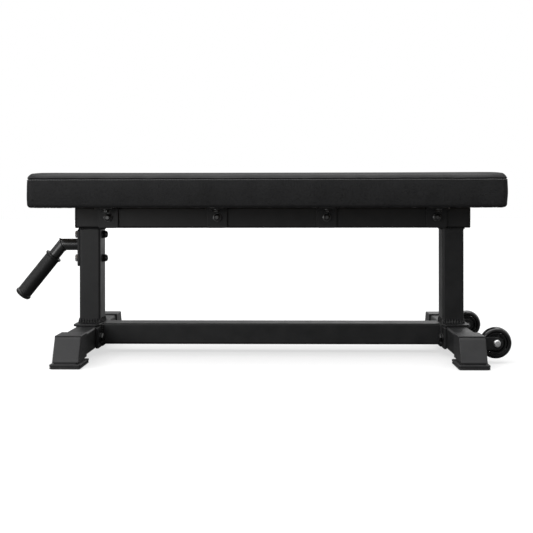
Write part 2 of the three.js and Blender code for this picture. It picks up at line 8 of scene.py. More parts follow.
import bpy
import numpy as np
from mathutils import Matrix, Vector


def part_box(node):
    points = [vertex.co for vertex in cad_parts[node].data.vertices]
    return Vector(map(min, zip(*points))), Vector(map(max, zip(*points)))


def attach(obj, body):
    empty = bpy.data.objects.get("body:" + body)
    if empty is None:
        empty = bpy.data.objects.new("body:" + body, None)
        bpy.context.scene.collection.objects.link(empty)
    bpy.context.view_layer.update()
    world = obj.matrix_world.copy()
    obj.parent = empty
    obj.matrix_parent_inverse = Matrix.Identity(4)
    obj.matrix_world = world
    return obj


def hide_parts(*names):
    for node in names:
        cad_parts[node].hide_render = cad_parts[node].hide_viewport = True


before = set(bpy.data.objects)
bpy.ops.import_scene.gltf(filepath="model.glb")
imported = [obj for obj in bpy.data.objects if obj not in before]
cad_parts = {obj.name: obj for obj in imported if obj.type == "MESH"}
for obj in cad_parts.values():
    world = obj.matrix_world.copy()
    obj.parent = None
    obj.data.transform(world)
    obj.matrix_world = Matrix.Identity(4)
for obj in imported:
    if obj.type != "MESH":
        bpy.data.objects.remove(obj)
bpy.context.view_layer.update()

MM = 0.001
X, Y, Z = np.eye(3)
PLACES = (("front", -1), ("rear", 1))
ENDS = (("left", -1), ("right", 1))
TUBE_CORNER = 5
PATH_STEP = 0.9


def low(node):
    """Lowest corner of a CAD node, in millimetres."""
    return np.array(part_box(node)[0]) / MM


def high(node):
    """Highest corner of a CAD node, in millimetres."""
    return np.array(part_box(node)[1]) / MM


def middle(node):
    """Middle of a CAD node's box, in millimetres."""
    return (low(node) + high(node)) / 2


def extent(node):
    """Sides of a CAD node's box, in millimetres."""
    return high(node) - low(node)


# ---------------------------------------------------------------- objects and meshes


def placed(name, data):
    """New object in the scene, at the origin."""
    thing = bpy.data.objects.new(name, data)
    bpy.context.scene.collection.objects.link(thing)
    return thing


def mesh_of(name, points, faces):
    """Mesh from points in millimetres."""
    mesh = bpy.data.meshes.new(name)
    mesh.from_pydata((points * MM).tolist(), [], faces)
    return mesh


def finished(thing):
    """Mesh of an object with its modifiers applied, as of the current frame."""
    return bpy.data.meshes.new_from_object(thing.evaluated_get(bpy.context.evaluated_depsgraph_get()))


def corners_of(mesh):
    """Places of a mesh's vertices, in metres."""
    places = np.zeros(len(mesh.vertices) * 3)
    mesh.vertices.foreach_get("co", places)
    return places.reshape(-1, 3)


# ---------------------------------------------------------------- skins: grids of points


def grid_quads(rows, columns):
    """Four corners of each cell between neighbouring rings; the last column meets the first."""
    row, column = np.meshgrid(np.arange(rows - 1), np.arange(columns), indexing="ij")
    following = (column + 1) % columns
    start = row * columns
    corners = [start + column, start + following, start + columns + following, start + columns + column]
    return np.stack(corners, -1).reshape(-1, 4)


def facing_out(points, faces):
    """Turns every face round if the skin's signed volume, summed over face fans, is negative."""
    volume = 0.0
    for sides in {len(face) for face in faces}:
        same = np.array([face for face in faces if len(face) == sides])
        anchor = points[same[:, 0]]
        for step in range(1, sides - 1):
            normal = np.cross(points[same[:, step]], points[same[:, step + 1]])
            volume += np.einsum("ij,ij->", anchor, normal)
    return faces if volume > 0 else [face[::-1] for face in faces]


def skin(rings, loop=False):
    """Closed skin over rings of points: flat lids shut its ends, or the last ring meets the first."""
    rows, columns = rings.shape[:2]
    if loop:
        rings = np.concatenate([rings, rings[:1]])
        quads = grid_quads(rows + 1, columns) % (rows * columns)
        return rings[:-1].reshape(-1, 3), facing_out(rings[:-1].reshape(-1, 3), quads.tolist())
    faces = grid_quads(rows, columns).tolist()
    faces.append(list(range(columns))[::-1])
    faces.append(list(range((rows - 1) * columns, rows * columns)))
    points = rings.reshape(-1, 3)
    return points, facing_out(points, faces)


def many(rings):
    """Skins of many equal small shapes at once, from an array of shape x ring x column x 3."""
    count, rows, columns = rings.shape[:3]
    _, faces = skin(rings[0])
    quads = np.array(faces[:-2])
    lids = np.array(faces[-2:])
    starts = (np.arange(count) * rows * columns)[:, None, None]
    every = [(starts + group).reshape(-1, group.shape[1]).tolist() for group in (quads, lids)]
    return rings.reshape(-1, 3), every[0] + every[1]


def rounded(half_width, half_height, corner, steps=6, support=0.5):
    """Outlines of rounded rectangles, one row per size: quarter circles, a point just past each end."""
    sizes = np.broadcast_arrays(*map(np.atleast_1d, (half_width, half_height, corner)))
    half_width, half_height, corner = (size[:, None].astype(float) for size in sizes)
    shorter = np.minimum(half_width, half_height)
    corner = np.minimum(corner, shorter * 0.98)
    past = np.minimum(support, 0.4 * (shorter - corner))
    rows = []
    for quarter, (along, up) in enumerate(((1, 1), (-1, 1), (-1, -1), (1, -1))):
        turn = (quarter + np.linspace(0, 1, steps + 1)) * math.pi / 2
        x = along * (half_width - corner) + corner * np.cos(turn)
        y = up * (half_height - corner) + corner * np.sin(turn)
        first, last = turn[0], turn[-1]
        x = np.hstack([x[:, :1] + past * math.sin(first), x, x[:, -1:] - past * math.sin(last)])
        y = np.hstack([y[:, :1] - past * math.cos(first), y, y[:, -1:] + past * math.cos(last)])
        rows.append(np.stack([x, y], -1))
    return np.concatenate(rows, 1)


def swept(centres, across, upward, outlines):
    """Rings of a sweep: centre + across * x + upward * y for each outline point (x, y)."""
    across, upward = np.broadcast_to(across, centres.shape), np.broadcast_to(upward, centres.shape)
    return centres[:, None] + outlines[..., :1] * across[:, None] + outlines[..., 1:] * upward[:, None]


def soft_ends(length, edge, support=0.5, steps=4):
    """Places along a length and how far the outline draws in there: a quarter circle at each end."""
    turn = np.linspace(0, math.pi / 2, steps)
    place = np.append(edge * (1 - np.cos(turn)), edge + support)
    inset = np.append(edge * (1 - np.sin(turn)), 0)
    return np.concatenate([place, length - place[::-1]]), np.concatenate([inset, inset[::-1]])


def bar(centre, size, along, corner, edge=0.6, steps=6):
    """Straight bar along one axis: a rounded rectangle swept from end to end, its ends' rims eased."""
    axis = "xyz".index(along)
    sides = [i for i in range(3) if i != axis]
    place, inset = soft_ends(size[axis], min(edge, size[axis] * 0.4), min(0.5, size[axis] * 0.05))
    centres = np.asarray(centre, float) + (place - size[axis] / 2)[:, None] * np.eye(3)[axis]
    halves = [size[i] / 2 - inset for i in sides]
    outlines = rounded(halves[0], halves[1], np.maximum(corner - inset, 0.15), steps)
    return skin(swept(centres, np.eye(3)[sides[0]], np.eye(3)[sides[1]], outlines))


def square_to(direction):
    """Two unit vectors square to a direction and to each other."""
    direction = np.asarray(direction, float) / np.linalg.norm(direction)
    helper = X if abs(direction[0]) < 0.9 else Y
    first = np.cross(direction, helper)
    first /= np.linalg.norm(first)
    return direction, first, np.cross(direction, first)


def spokes(count, first, second):
    """Angles of even steps round a turn, and the unit vector at each, from one axis to another."""
    turn = np.linspace(0, 2 * math.pi, count, endpoint=False)
    return turn, np.cos(turn)[:, None] * first + np.sin(turn)[:, None] * second


def turned(profile, centre, direction, count=48):
    """Profile of (radius, height) rows turned about a line."""
    direction, first, second = square_to(direction)
    radius, height = np.asarray(profile, float).T[:, :, None, None]
    _, radial = spokes(count, first, second)
    return skin(np.asarray(centre, float) + radius * radial + height * direction)


def arc(radius, height, size, start, stop, steps, squash=1.0):
    """Profile rows on a circle about (radius, height), from one angle to another in degrees."""
    turn = np.radians(np.linspace(start, stop, steps + 1))
    return np.stack([radius + size * np.cos(turn), height + size * squash * np.sin(turn)], -1).tolist()


def walked(stops, travelled, line):
    """Places or directions at distances along a line of points."""
    return np.stack([np.interp(stops, travelled, line[:, i]) for i in range(3)], -1)


def resampled(points, spacing):
    """Closed line through points, walked at even steps close to a spacing."""
    closed = np.vstack([points, points[:1]])
    travelled = np.append(0, np.cumsum(np.linalg.norm(np.diff(closed, axis=0), axis=1)))
    count = int(travelled[-1] / spacing)
    stops = np.linspace(0, travelled[-1], count, endpoint=False)
    return walked(stops, travelled, closed)


# ---------------------------------------------------------------- finishes


def new_finish(name, **sockets):
    """Material with a Principled shader, whose sockets take plain values by name."""
    material = bpy.data.materials.new(name)
    material.use_nodes = True
    shader = material.node_tree.nodes["Principled BSDF"]
    for socket, value in sockets.items():
        shader.inputs[socket.replace("_", " ")].default_value = value
    return material, shader


def add_node(owner, kind, inputs=None, **settings):
    """Node in a material or world with its settings; inputs are values or sockets to link."""
    node = owner.node_tree.nodes.new(kind)
    for key, value in settings.items():
        setattr(node, key, value)
    for key, value in (inputs or {}).items():
        if isinstance(value, bpy.types.NodeSocket):
            owner.node_tree.links.new(value, node.inputs[key])
        else:
            node.inputs[key].default_value = value
    return node


def stretched(material, scale=(1, 1, 1)):
    """Object coordinates stretched by a scale on each axis."""
    coordinates = add_node(material, "ShaderNodeTexCoord")
    inputs = {"Vector": coordinates.outputs["Object"], "Scale": scale}
    return add_node(material, "ShaderNodeMapping", inputs).outputs["Vector"]


def noise(material, vector, scale, detail=3.0, roughness=0.55):
    """Noise value at a scale in bumps per metre."""
    inputs = {"Vector": vector, "Scale": scale, "Detail": detail, "Roughness": roughness}
    return add_node(material, "ShaderNodeTexNoise", inputs).outputs["Fac"]


def spread(material, value, low_end, high_end, start=0.3, stop=0.7):
    """Value carried from start..stop to low_end..high_end."""
    inputs = {"Value": value, "From Min": start, "From Max": stop, "To Min": low_end, "To Max": high_end}
    return add_node(material, "ShaderNodeMapRange", inputs).outputs["Result"]


def shaded(material, value, stops):
    """Colour ramp over (place, grey or colour) stops."""
    ramp = add_node(material, "ShaderNodeValToRGB", {"Fac": value}).color_ramp
    node = material.node_tree.nodes[-1]
    while len(ramp.elements) < len(stops):
        ramp.elements.new(0.5)
    for element, (place, colour) in zip(ramp.elements, stops):
        element.position = place
        rgb = (colour,) * 3 if isinstance(colour, float) else colour
        element.color = (*rgb, 1)
    return node.outputs["Color"]


def mixed(material, factor, first, second, kind="RGBA", **settings):
    """Blend from a first value or socket to a second by a factor."""
    inputs = {"Factor": factor, "A": first, "B": second}
    return add_node(material, "ShaderNodeMix", inputs, data_type=kind, **settings).outputs["Result"]


def reckoned(owner, operation, *values):
    """Arithmetic on sockets or plain values."""
    return add_node(owner, "ShaderNodeMath", dict(enumerate(values)), operation=operation).outputs["Value"]


def bump(material, height, distance, strength=1.0, under=None):
    """Bump of a real height in metres, laid over another bump."""
    inputs = {"Height": height, "Distance": distance, "Strength": strength}
    if under is not None:
        inputs["Normal"] = under
    return add_node(material, "ShaderNodeBump", inputs).outputs["Normal"]


def join_to(material, shader, **sockets):
    """Links outputs to the shader's sockets by name."""
    for key, output in sockets.items():
        material.node_tree.links.new(output, shader.inputs[key.replace("_", " ")])
    return material


def powder_coat(name, dull, gloss_level):
    """Black powder coat: orange peel, faint mottling, a thin film of dust and a few dull scuffs."""
    material, shader = new_finish(name, Specular_IOR_Level=gloss_level)
    at = stretched(material)
    mottle = noise(material, at, 26, 4)
    scuff = noise(material, stretched(material, (1, 1, 3.2)), 90, 6, 0.7)
    peel = noise(material, at, 620, 2)
    grit = noise(material, at, 1900, 2, 0.7)
    colour = shaded(material, mottle, [(0.32, (0.0132, 0.0134, 0.0139)), (0.7, (0.0188, 0.019, 0.0196))])
    marks = shaded(material, scuff, [(0.68, 0.0), (0.76, 0.35)])
    worn = mixed(material, marks, colour, (0.045, 0.045, 0.046, 1))
    rough = spread(material, mottle, dull - 0.07, dull + 0.07)
    normal = bump(material, grit, 0.00005, 0.7, bump(material, peel, 0.00016, 0.8))
    return join_to(material, shader, Base_Color=worn, Roughness=rough, Normal=normal)


def grained_vinyl():
    """Black upholstery vinyl: small leather cells with creased borders painted darker as shade, fine pores
    and soft wear.
    """
    material, shader = new_finish(
        "vinyl_black", Specular_IOR_Level=0.12, Coat_Weight=0.01, Coat_Roughness=0.3
    )
    at = stretched(material)
    swirl = add_node(material, "ShaderNodeTexNoise", {"Vector": at, "Scale": 240.0, "Detail": 2.0})
    bent = mixed(material, 0.004, at, swirl.outputs["Color"], "VECTOR")
    inputs = {"Vector": bent, "Scale": 430.0}
    cells = add_node(material, "ShaderNodeTexVoronoi", inputs, feature="DISTANCE_TO_EDGE")
    crease = spread(material, cells.outputs["Distance"], 0, 1, 0.0, 0.16)
    pores = noise(material, at, 1500, 3, 0.7)
    wear = noise(material, at, 9, 4, 0.6)
    colour = shaded(material, wear, [(0.3, (0.0238, 0.0238, 0.0245)), (0.72, (0.0315, 0.0315, 0.0323))])
    # Painted shade: the colour darkens to near black along the cell borders, where the bump sinks the creases
    crease_painted_shade = mixed(material, crease, (0.006, 0.006, 0.0065, 1), colour)
    rough = spread(material, wear, 0.54, 0.66)
    normal = bump(material, pores, 0.00006, 0.6, bump(material, crease, 0.00022, 0.75))
    return join_to(material, shader, Base_Color=crease_painted_shade, Roughness=rough, Normal=normal)


def moulded(name, dark, light, roughness, grain=900.0, depth=0.0001, **sockets):
    """Moulded rubber or plastic: matt grain, cloudy colour and dust that gathers in patches."""
    material, shader = new_finish(name, **sockets)
    at = stretched(material)
    cloud = noise(material, at, 34, 5, 0.6)
    fine = noise(material, at, grain, 3, 0.7)
    speck = noise(material, at, grain * 0.35, 2, 0.6)
    colour = shaded(material, cloud, [(0.3, (dark, dark, dark * 1.03)), (0.72, (light, light, light * 1.03))])
    rough = spread(material, speck, roughness - 0.06, roughness + 0.06)
    normal = bump(material, fine, depth, 0.7, bump(material, speck, depth * 1.5, 0.5))
    return join_to(material, shader, Base_Color=colour, Roughness=rough, Normal=normal)


def plated(name, dark, light, roughness):
    """Zinc-plated steel: crystalline patches, fine drawing lines and small pits."""
    material, shader = new_finish(name, Metallic=1.0)
    at = stretched(material)
    patches = add_node(material, "ShaderNodeTexVoronoi", {"Vector": at, "Scale": 520.0}).outputs["Distance"]
    lines = noise(material, stretched(material, (1, 1, 14)), 380, 3, 0.6)
    pits = noise(material, at, 1300, 3, 0.7)
    colour = shaded(material, patches, [(0.1, dark), (0.75, light)])
    rough = spread(material, lines, roughness - 0.07, roughness + 0.1)
    normal = bump(material, pits, 0.00004, 0.6, bump(material, lines, 0.00003, 0.5))
    return join_to(material, shader, Base_Color=colour, Roughness=rough, Normal=normal)


def plywood():
    """Rotary-cut plywood face: long wavering grain lines, pores and a few darker streaks."""
    material, shader = new_finish("plywood_raw")
    along = stretched(material, (1, 16, 16))
    waver = noise(material, along, 5, 5, 0.6)
    pores = noise(material, stretched(material, (8, 90, 90)), 14, 4, 0.65)
    colour = shaded(
        material, waver, [(0.25, (0.30, 0.17, 0.075)), (0.5, (0.47, 0.30, 0.15)), (0.78, (0.56, 0.38, 0.21))]
    )
    dark_pores = shaded(material, pores, [(0.28, 0.45), (0.5, 1.0)])
    board_face = mixed(material, 1.0, colour, dark_pores, blend_type="MULTIPLY")
    rough = spread(material, waver, 0.62, 0.82)
    normal = bump(material, pores, 0.0002, 0.6)
    return join_to(material, shader, Base_Color=board_face, Roughness=rough, Normal=normal)


def twisted_thread():
    """Sewing thread for a black cover, coloured light grey as a painted sheen: strands twisted across its
    length, darker in the twist's grooves as painted shade, with a soft sheen.
    """
    material, shader = new_finish("thread_black_painted_sheen", Roughness=0.6, Sheen_Weight=0.4)
    at = stretched(material)
    strand = add_node(material, "ShaderNodeTexWave", {"Vector": at, "Scale": 900.0, "Distortion": 2.0})
    # Painted sheen and shade: the grey runs from 0.2 in the twist's grooves to 0.38 on its ridges, far
    # lighter than black thread
    colour = shaded(material, strand.outputs["Fac"], [(0.1, 0.2), (0.9, 0.38)])
    return join_to(material, shader, Base_Color=colour, Normal=bump(material, strand.outputs["Fac"], 0.0001))


PAINT = powder_coat("powder_coat_black", 0.43, 0.3)
GLOSS = powder_coat("powder_coat_gloss", 0.25, 0.5)
VINYL = grained_vinyl()
RUBBER = moulded("boot_rubber", 0.024, 0.032, 0.44, 900.0, 0.00006, Specular_IOR_Level=0.3)
GRIP_RUBBER = moulded("grip_rubber", 0.007, 0.011, 0.38, 1500.0, 0.00005, Specular_IOR_Level=0.32)
CAP_PLASTIC = moulded("cap_plastic", 0.010, 0.014, 0.48, 1200.0, 0.00007)
HUB_NYLON = moulded("hub_nylon", 0.010, 0.016, 0.36, 1100.0, 0.00006, Specular_IOR_Level=0.35)
TYRE_URETHANE = moulded("tyre_urethane", 0.0025, 0.004, 0.13, 160.0, 0.00002, Specular_IOR_Level=0.5)
ZINC = plated("zinc_bright", 0.8, 0.95, 0.36)
BLACK_ZINC = plated("zinc_black", 0.06, 0.13, 0.34)
WOOD = plywood()
THREAD = twisted_thread()


def piece(name, skins, finish, stands_for=(), body="frame", crease=34):
    """One object from closed skins; a second finish may come with a skin as (points, faces, finish)."""
    finishes = [finish]
    points, faces, slots = [], [], []
    offset = 0
    for part in skins:
        own = part[2] if len(part) > 2 else finish
        if own not in finishes:
            finishes.append(own)
        points.append(part[0])
        faces.extend([[corner + offset for corner in face] for face in part[1]])
        slots.extend([finishes.index(own)] * len(part[1]))
        offset += len(part[0])
    mesh = mesh_of(name, np.concatenate(points), faces)
    mesh.polygons.foreach_set("use_smooth", np.ones(len(faces), bool))
    mesh.polygons.foreach_set("material_index", np.array(slots, np.int32))
    mesh.set_sharp_from_angle(angle=math.radians(crease))
    for each in finishes:
        mesh.materials.append(each)
    thing = placed(name, mesh)
    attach(thing, body)
    if stands_for:
        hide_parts(*stands_for)
    return thing


def coated(node, along, corner, edge):
    """Straight painted bar that stands for a CAD node of the same box."""
    piece(f"{node}_coated", [bar(middle(node), extent(node), along, corner, edge)], PAINT, [node])


# ---------------------------------------------------------------- welds and fasteners


def bead(path, first, second, leg, pitch=4.2, seed=1, climb=None, swell=0.13):
    """Fillet weld round a closed path: a flattened quarter round between two faces.

    It reaches leg along the first face and climb up the second. Its size swells once every
    pitch, like a row of overlapping coins, and drifts slowly.
    """
    climb = leg if climb is None else climb
    second = np.broadcast_to(second, path.shape)
    random = np.random.default_rng(seed)
    step = np.linalg.norm(np.roll(path, -1, 0) - path, axis=1)
    travelled = np.cumsum(step) - step[0]
    length = travelled[-1] + step[-1]
    coins = max(1, round(length / pitch))
    phase = 2 * math.pi * coins * travelled / length
    drift = sum(
        random.uniform(0.02, 0.06) * np.sin(2 * math.pi * k * travelled / length + random.uniform(0, 6.28))
        for k in range(1, 9)
    )
    turn = np.linspace(0, math.pi / 2, 7)
    lean = 0.35 * np.sin(2 * turn)
    size = leg * (1 + swell * np.sin(phase[:, None] + lean * 3) + drift[:, None])
    near = np.cos(turn) ** 1.25
    rise = np.sin(turn) ** 1.25
    tall = size * rise * climb / leg
    arch = path[:, None] + (size * near)[..., None] * first[:, None] + tall[..., None] * second[:, None]
    back = path[:, None] - 0.25 * leg * (first + second)[:, None]
    return skin(np.concatenate([arch, back], 1), loop=True)


def round_tube(centre, width, height, corner, across, upward):
    """Path round a rounded rectangle and its outward directions."""
    outline = rounded(width / 2, height / 2, corner, 8)[0]
    path = resampled(centre + outline[:, :1] * across + outline[:, 1:] * upward, PATH_STEP)
    ahead = np.roll(path, -1, 0) - np.roll(path, 1, 0)
    outward = np.cross(ahead, np.cross(across, upward))
    return path, outward / np.linalg.norm(outward, axis=1)[:, None]


def hexed(turn):
    """Radius of a hexagon round the turn, over its inner radius."""
    return 1 / np.cos((turn + math.pi / 6) % (math.pi / 3) - math.pi / 6)


def hex_block(flats, start, stop, centre, direction, dish=0.0):
    """Hexagon from start to stop whose outer end is turned to a chamfer, with an optional dished face."""
    count = 96
    direction, first, second = square_to(direction)
    turn, radial = spokes(count, first, second)
    inner = flats / 2
    full = inner * hexed(turn)
    crown = inner * 0.93
    sign = 1 if stop > start else -1
    slope = sign * (full - crown) * 0.5
    rows = [
        (full * 0.985, start + 0 * turn),
        (full, start + sign * 0.2 + 0 * turn),
        (full, stop - slope),
        (np.full(count, crown), stop + 0 * turn),
        (np.full(count, crown - 0.5), stop + 0 * turn),
        (np.full(count, crown * 0.55), stop - sign * dish + 0 * turn),
        (np.full(count, 0.3), stop - sign * dish + 0 * turn),
    ]
    rings = np.stack([centre + r[:, None] * radial + h[:, None] * direction for r, h in rows])
    return skin(rings)


def washer(radius, start, stop, centre, direction):
    """Flat washer with eased rims."""
    rim = 0.25 if stop > start else -0.25
    profile = [
        (1.0, start),
        (radius - 0.3, start),
        (radius, start + rim),
        (radius, stop - rim),
        (radius - 0.3, stop),
        (1.0, stop),
    ]
    return turned(profile, centre, direction, 64)


def threaded(bolt, start, stop, centre, direction):
    """Threaded rod: its radius falls and rises along a helix, and its tip is chamfered."""
    radius, pitch = bolt["thread"], bolt["pitch"]
    direction, first, second = square_to(direction)
    turn, radial = spokes(40, first, second)
    height = np.linspace(start, stop, max(6, int(abs(stop - start) / pitch * 8)))
    ridge = np.abs(((height[:, None] / pitch - turn / (2 * math.pi)) % 1) * 2 - 1)
    size = radius - 0.55 * ridge
    size = np.minimum(size, radius - 0.9 + np.abs(stop - height)[:, None])
    return skin(centre + size[..., None] * radial + height[:, None, None] * direction)


M8 = {"thread": 4, "flats": 13, "washer": 8.4, "thick": 1.6, "head": 5.3, "pitch": 1.25}
M10 = {"thread": 5, "flats": 17, "washer": 10, "thick": 2, "head": 6.4, "pitch": 1.5}
HANDLE_HEAD, SPINE_NUT, HANDLE_NUT = 7.2, 9.5, 8.9
BRACKET_THICK = 5.0
TOUCH = 0.3


def bolt_head(size, head, centre, direction):
    """Washer and hex head standing off a face along a direction, from the face at its centre."""
    top = TOUCH + size["thick"]
    return [
        washer(size["washer"], TOUCH, top, centre, direction),
        hex_block(size["flats"], top - 0.1, top + head, centre, direction, dish=0.5),
    ]


def lock_nut(size, height, centre, direction, tip):
    """Washer, hexagon and rounded collar with its nylon ring, and the bolt's threaded tip."""
    top = TOUCH + size["thick"]
    shoulder = top + height * 0.68
    end = top + height
    bore = size["thread"] + 0.25
    wide = size["flats"] * 0.46
    collar = [(bore, shoulder - 1), (wide, shoulder - 1), (wide, shoulder + 0.2)]
    collar += [(wide - 0.25, end - 1.5), (wide - 0.9, end - 0.5), (wide - 1.7, end - 0.1)]
    collar += [(wide - 2.2, end - 0.4), (bore + 0.1, end - 0.5)]
    ring = [(bore, end - 1.2), (wide - 2.0, end - 1.2), (wide - 2.1, end - 0.35), (bore + 0.3, end - 0.3)]
    points, faces = turned(ring, centre, direction, 48)
    return [
        washer(size["washer"], TOUCH, top, centre, direction),
        hex_block(size["flats"], top - 0.1, shoulder, centre, direction),
        turned(collar, centre, direction, 48),
        (points, faces, HUB_NYLON),
        threaded(size, TOUCH, tip, centre, direction),
    ]


# ---------------------------------------------------------------- feet, uprights, stringer

BOOT_FIT, BOOT_WALL = 0.4, 2.9


def boot(node, foot, side):
    """Boot over a foot's end: rings of a rounded rectangle from the pocket's end out to the sleeve's
    mouth, back over the outside, under the lid's lip and down the sloped toe. Beneath are a narrow
    neck and a sole of two slabs with a groove between them, on strips that grip the floor."""
    box_low, box_high = low(node), high(node)
    centre_x = middle(foot)[0]
    mouth = min(abs(box_low[1]), abs(box_high[1]))
    end = extent(foot)[1] / 2
    top = box_high[2]
    floor = low(foot)[2]
    inner = extent(foot)[0] / 2 + BOOT_FIT
    outer = inner + BOOT_WALL
    roof = high(foot)[2] + BOOT_FIT
    rows = [
        (end - 2, inner, floor - BOOT_FIT, roof, 4.6),
        (mouth + 1, inner, floor - BOOT_FIT, roof, 4.6),
        (mouth, inner + 0.6, floor - 0.7, roof + 0.6, 4.4),
        (mouth, outer - 0.8, 14.3, top - 0.8, 2.4),
        (mouth + 0.4, outer - 0.2, 14.0, top - 0.2, 2.2),
        (mouth + 1.2, outer, 13.8, top, 2.2),
        (mouth + 1.8, outer, 13.8, top, 2.2),
        (end + 4.9, outer, 13.8, top, 2.2),
        (end + 6.2, outer, 13.8, top - 0.2, 2.2),
        (end + 7.2, outer, 13.8, top - 0.8, 2.2),
        (end + 7.5, outer, 13.8, top - 1.6, 2.2),
        (end + 7.2, outer, 13.8, top - 2.2, 2.2),
        (end + 6.0, outer - 0.5, 13.8, top - 2.5, 2.2),
    ]
    slide = np.linspace(0, 1, 10)
    slope = [(end + 7.4 + 25.6 * s, outer, 13.8, top - 3.8 - (top - 20.4) * s, 2.2) for s in slide]
    slope.append((end + 33.4, outer - 0.5, 14.0, 16.0, 2.2))
    table = np.array(rows + slope)
    y, half, bottom, lid, corner = table.T
    centres = np.stack([np.full(len(y), centre_x), side * y, (bottom + lid) / 2], -1)
    sleeve = skin(swept(centres, X, Z, rounded(half, (lid - bottom) / 2, corner, 4, 0.35)))
    length = max(abs(box_low[1]), abs(box_high[1])) - mouth
    width = box_high[0] - box_low[0]
    skins = [sleeve]
    neck = (width - 2 * outer) / 2 + 2.6
    for start, stop, inset in ((9.4, 14.6, neck), (6.3, 10.6, 0.0), (4.6, 6.6, 2.2), (1.6, 5.0, 0.3)):
        place = (centre_x, side * (mouth + length / 2), (start + stop) / 2)
        size = (width - 2 * inset, length - 2 * inset, stop - start)
        skins.append(bar(place, size, "z", 4.2, 0.7))
    for strip in np.linspace(-0.4, 0.4, 9):
        place = (centre_x, side * (mouth + length * (0.5 + strip)), 1.6)
        skins.append(bar(place, (width - 6, length * 0.055, 3.2), "z", 1.5, 0.5, 3))
    return skins


def upright_weld(upright, seed):
    """Ripple weld round an upright's foot on its base plate."""
    size = extent(upright)
    centre = np.array([middle(upright)[0], middle(upright)[1], low(upright)[2] - 0.3])
    path, outward = round_tube(centre, size[0], size[1], TUBE_CORNER, X, Y)
    return bead(path, outward, Z, 2.4, 6.4, seed, climb=8.0, swell=0.42)


for end, side in ENDS:
    foot = f"foot_tube_{end}"
    coated(foot, "y", TUBE_CORNER, 0.6)
    plate = f"base_plate_{end}"
    coated(plate, "z", 9, 1.0)
    upright = f"upright_{end}"
    coated(upright, "z", TUBE_CORNER, 0.5)
    piece(f"weld_{upright}_foot", [upright_weld(upright, 3 + side)], PAINT)
    for place, turn in PLACES:
        node = f"boot_{end}_{place}"
        piece(f"{node}_moulded", boot(node, foot, turn), RUBBER, [node])

    plate_centre, plate_size = middle(plate), extent(plate)
    under = np.array([plate_centre[0], 0, low(plate)[2]])
    for flank in (-1, 1):
        seam = under + flank * (extent(foot)[0] / 2 - 1.8) * X
        path, outward = round_tube(seam, 1.6, plate_size[1] - 14, 0.7, X, Y)
        piece(
            f"weld_{plate}_{'inner' if flank == -side else 'outer'}",
            [bead(path, outward, -Z, 2.3, 4.0, 11 + flank)],
            PAINT,
        )

# Stringer: box tube between two end plates, with a weld all round each joint
stringer_low, stringer_high = low("stringer"), high("stringer")
plate_thick = 6.0
tube_height, tube_depth = 50.0, 70.0
tube_middle = np.array([(stringer_low[0] + stringer_high[0]) / 2, 0, stringer_high[2] - tube_height / 2])
tube_length = extent("stringer")[0] - 2 * plate_thick
plate_height = 49.7
stringer_skins = [bar(tube_middle, (tube_length + 1, tube_depth, tube_height), "x", TUBE_CORNER, 0.3)]
for side, outer in ((-1, stringer_low[0]), (1, stringer_high[0])):
    plate_middle = (outer - side * plate_thick / 2, 0, stringer_low[2] + plate_height / 2)
    stringer_skins.append(bar(plate_middle, (plate_thick, extent("stringer")[1], plate_height), "x", 3, 0.9))
piece("stringer_coated", stringer_skins, PAINT, ["stringer"])
for end, side in ENDS:
    joint = tube_middle + side * (tube_length / 2) * X
    path, outward = round_tube(joint, tube_depth, tube_height, TUBE_CORNER, Y, Z)
    path[:, 2] = np.minimum(path[:, 2], stringer_low[2] + plate_height - 0.5)
    piece(f"weld_stringer_{end}", [bead(path, outward, -side * X, 5.0, 4.6, 21 + side)], PAINT)
    for place, turn in PLACES:
        node = f"stringer_bolt_{end}_{place}"
        face = np.array([joint[0], middle(node)[1], middle(node)[2]])
        skins = bolt_head(M10, M10["head"], face, -side * X)
        skins.append(threaded(M10, -TOUCH, -plate_thick - 22, face, -side * X))
        piece(f"{node}_plated", skins, BLACK_ZINC, [node])

# ---------------------------------------------------------------- spine, caps and brackets

beam = "spine_beam"
coated(beam, "x", TUBE_CORNER, 0.5)
for end, side in ENDS:
    upright = f"upright_{end}"
    top = np.array([middle(upright)[0], 0, high(upright)[2] + 0.15])
    size = extent(upright)
    path, outward = round_tube(top, size[0] - 1.0, size[1] - 1.0, TUBE_CORNER, X, Y)
    piece(f"weld_{upright}_top", [bead(path, outward, -Z, 3.0, 4.8, 31 + side, swell=0.34)], PAINT)
    cap = f"spine_cap_{end}"
    outer = low(cap)[0] if side < 0 else high(cap)[0]
    flange = 3.5
    height, depth = extent(cap)[2], extent(cap)[1]
    face = np.array([outer - side * flange / 2, 0, middle(cap)[2]])
    dome = np.array([outer + side * 0.1, 0, middle(cap)[2]])
    plug = np.array([outer - side * (flange + 5), 0, middle(cap)[2]])
    skins = [
        bar(face, (flange, depth, height), "x", TUBE_CORNER, 1.4),
        bar(dome, (0.9, depth - 9, height - 9), "x", 3.5, 0.35),
        bar(plug, (11, depth - 6, height - 6), "x", 2.5, 0.5),
    ]
    piece(f"{cap}_moulded", skins, CAP_PLASTIC, [cap])


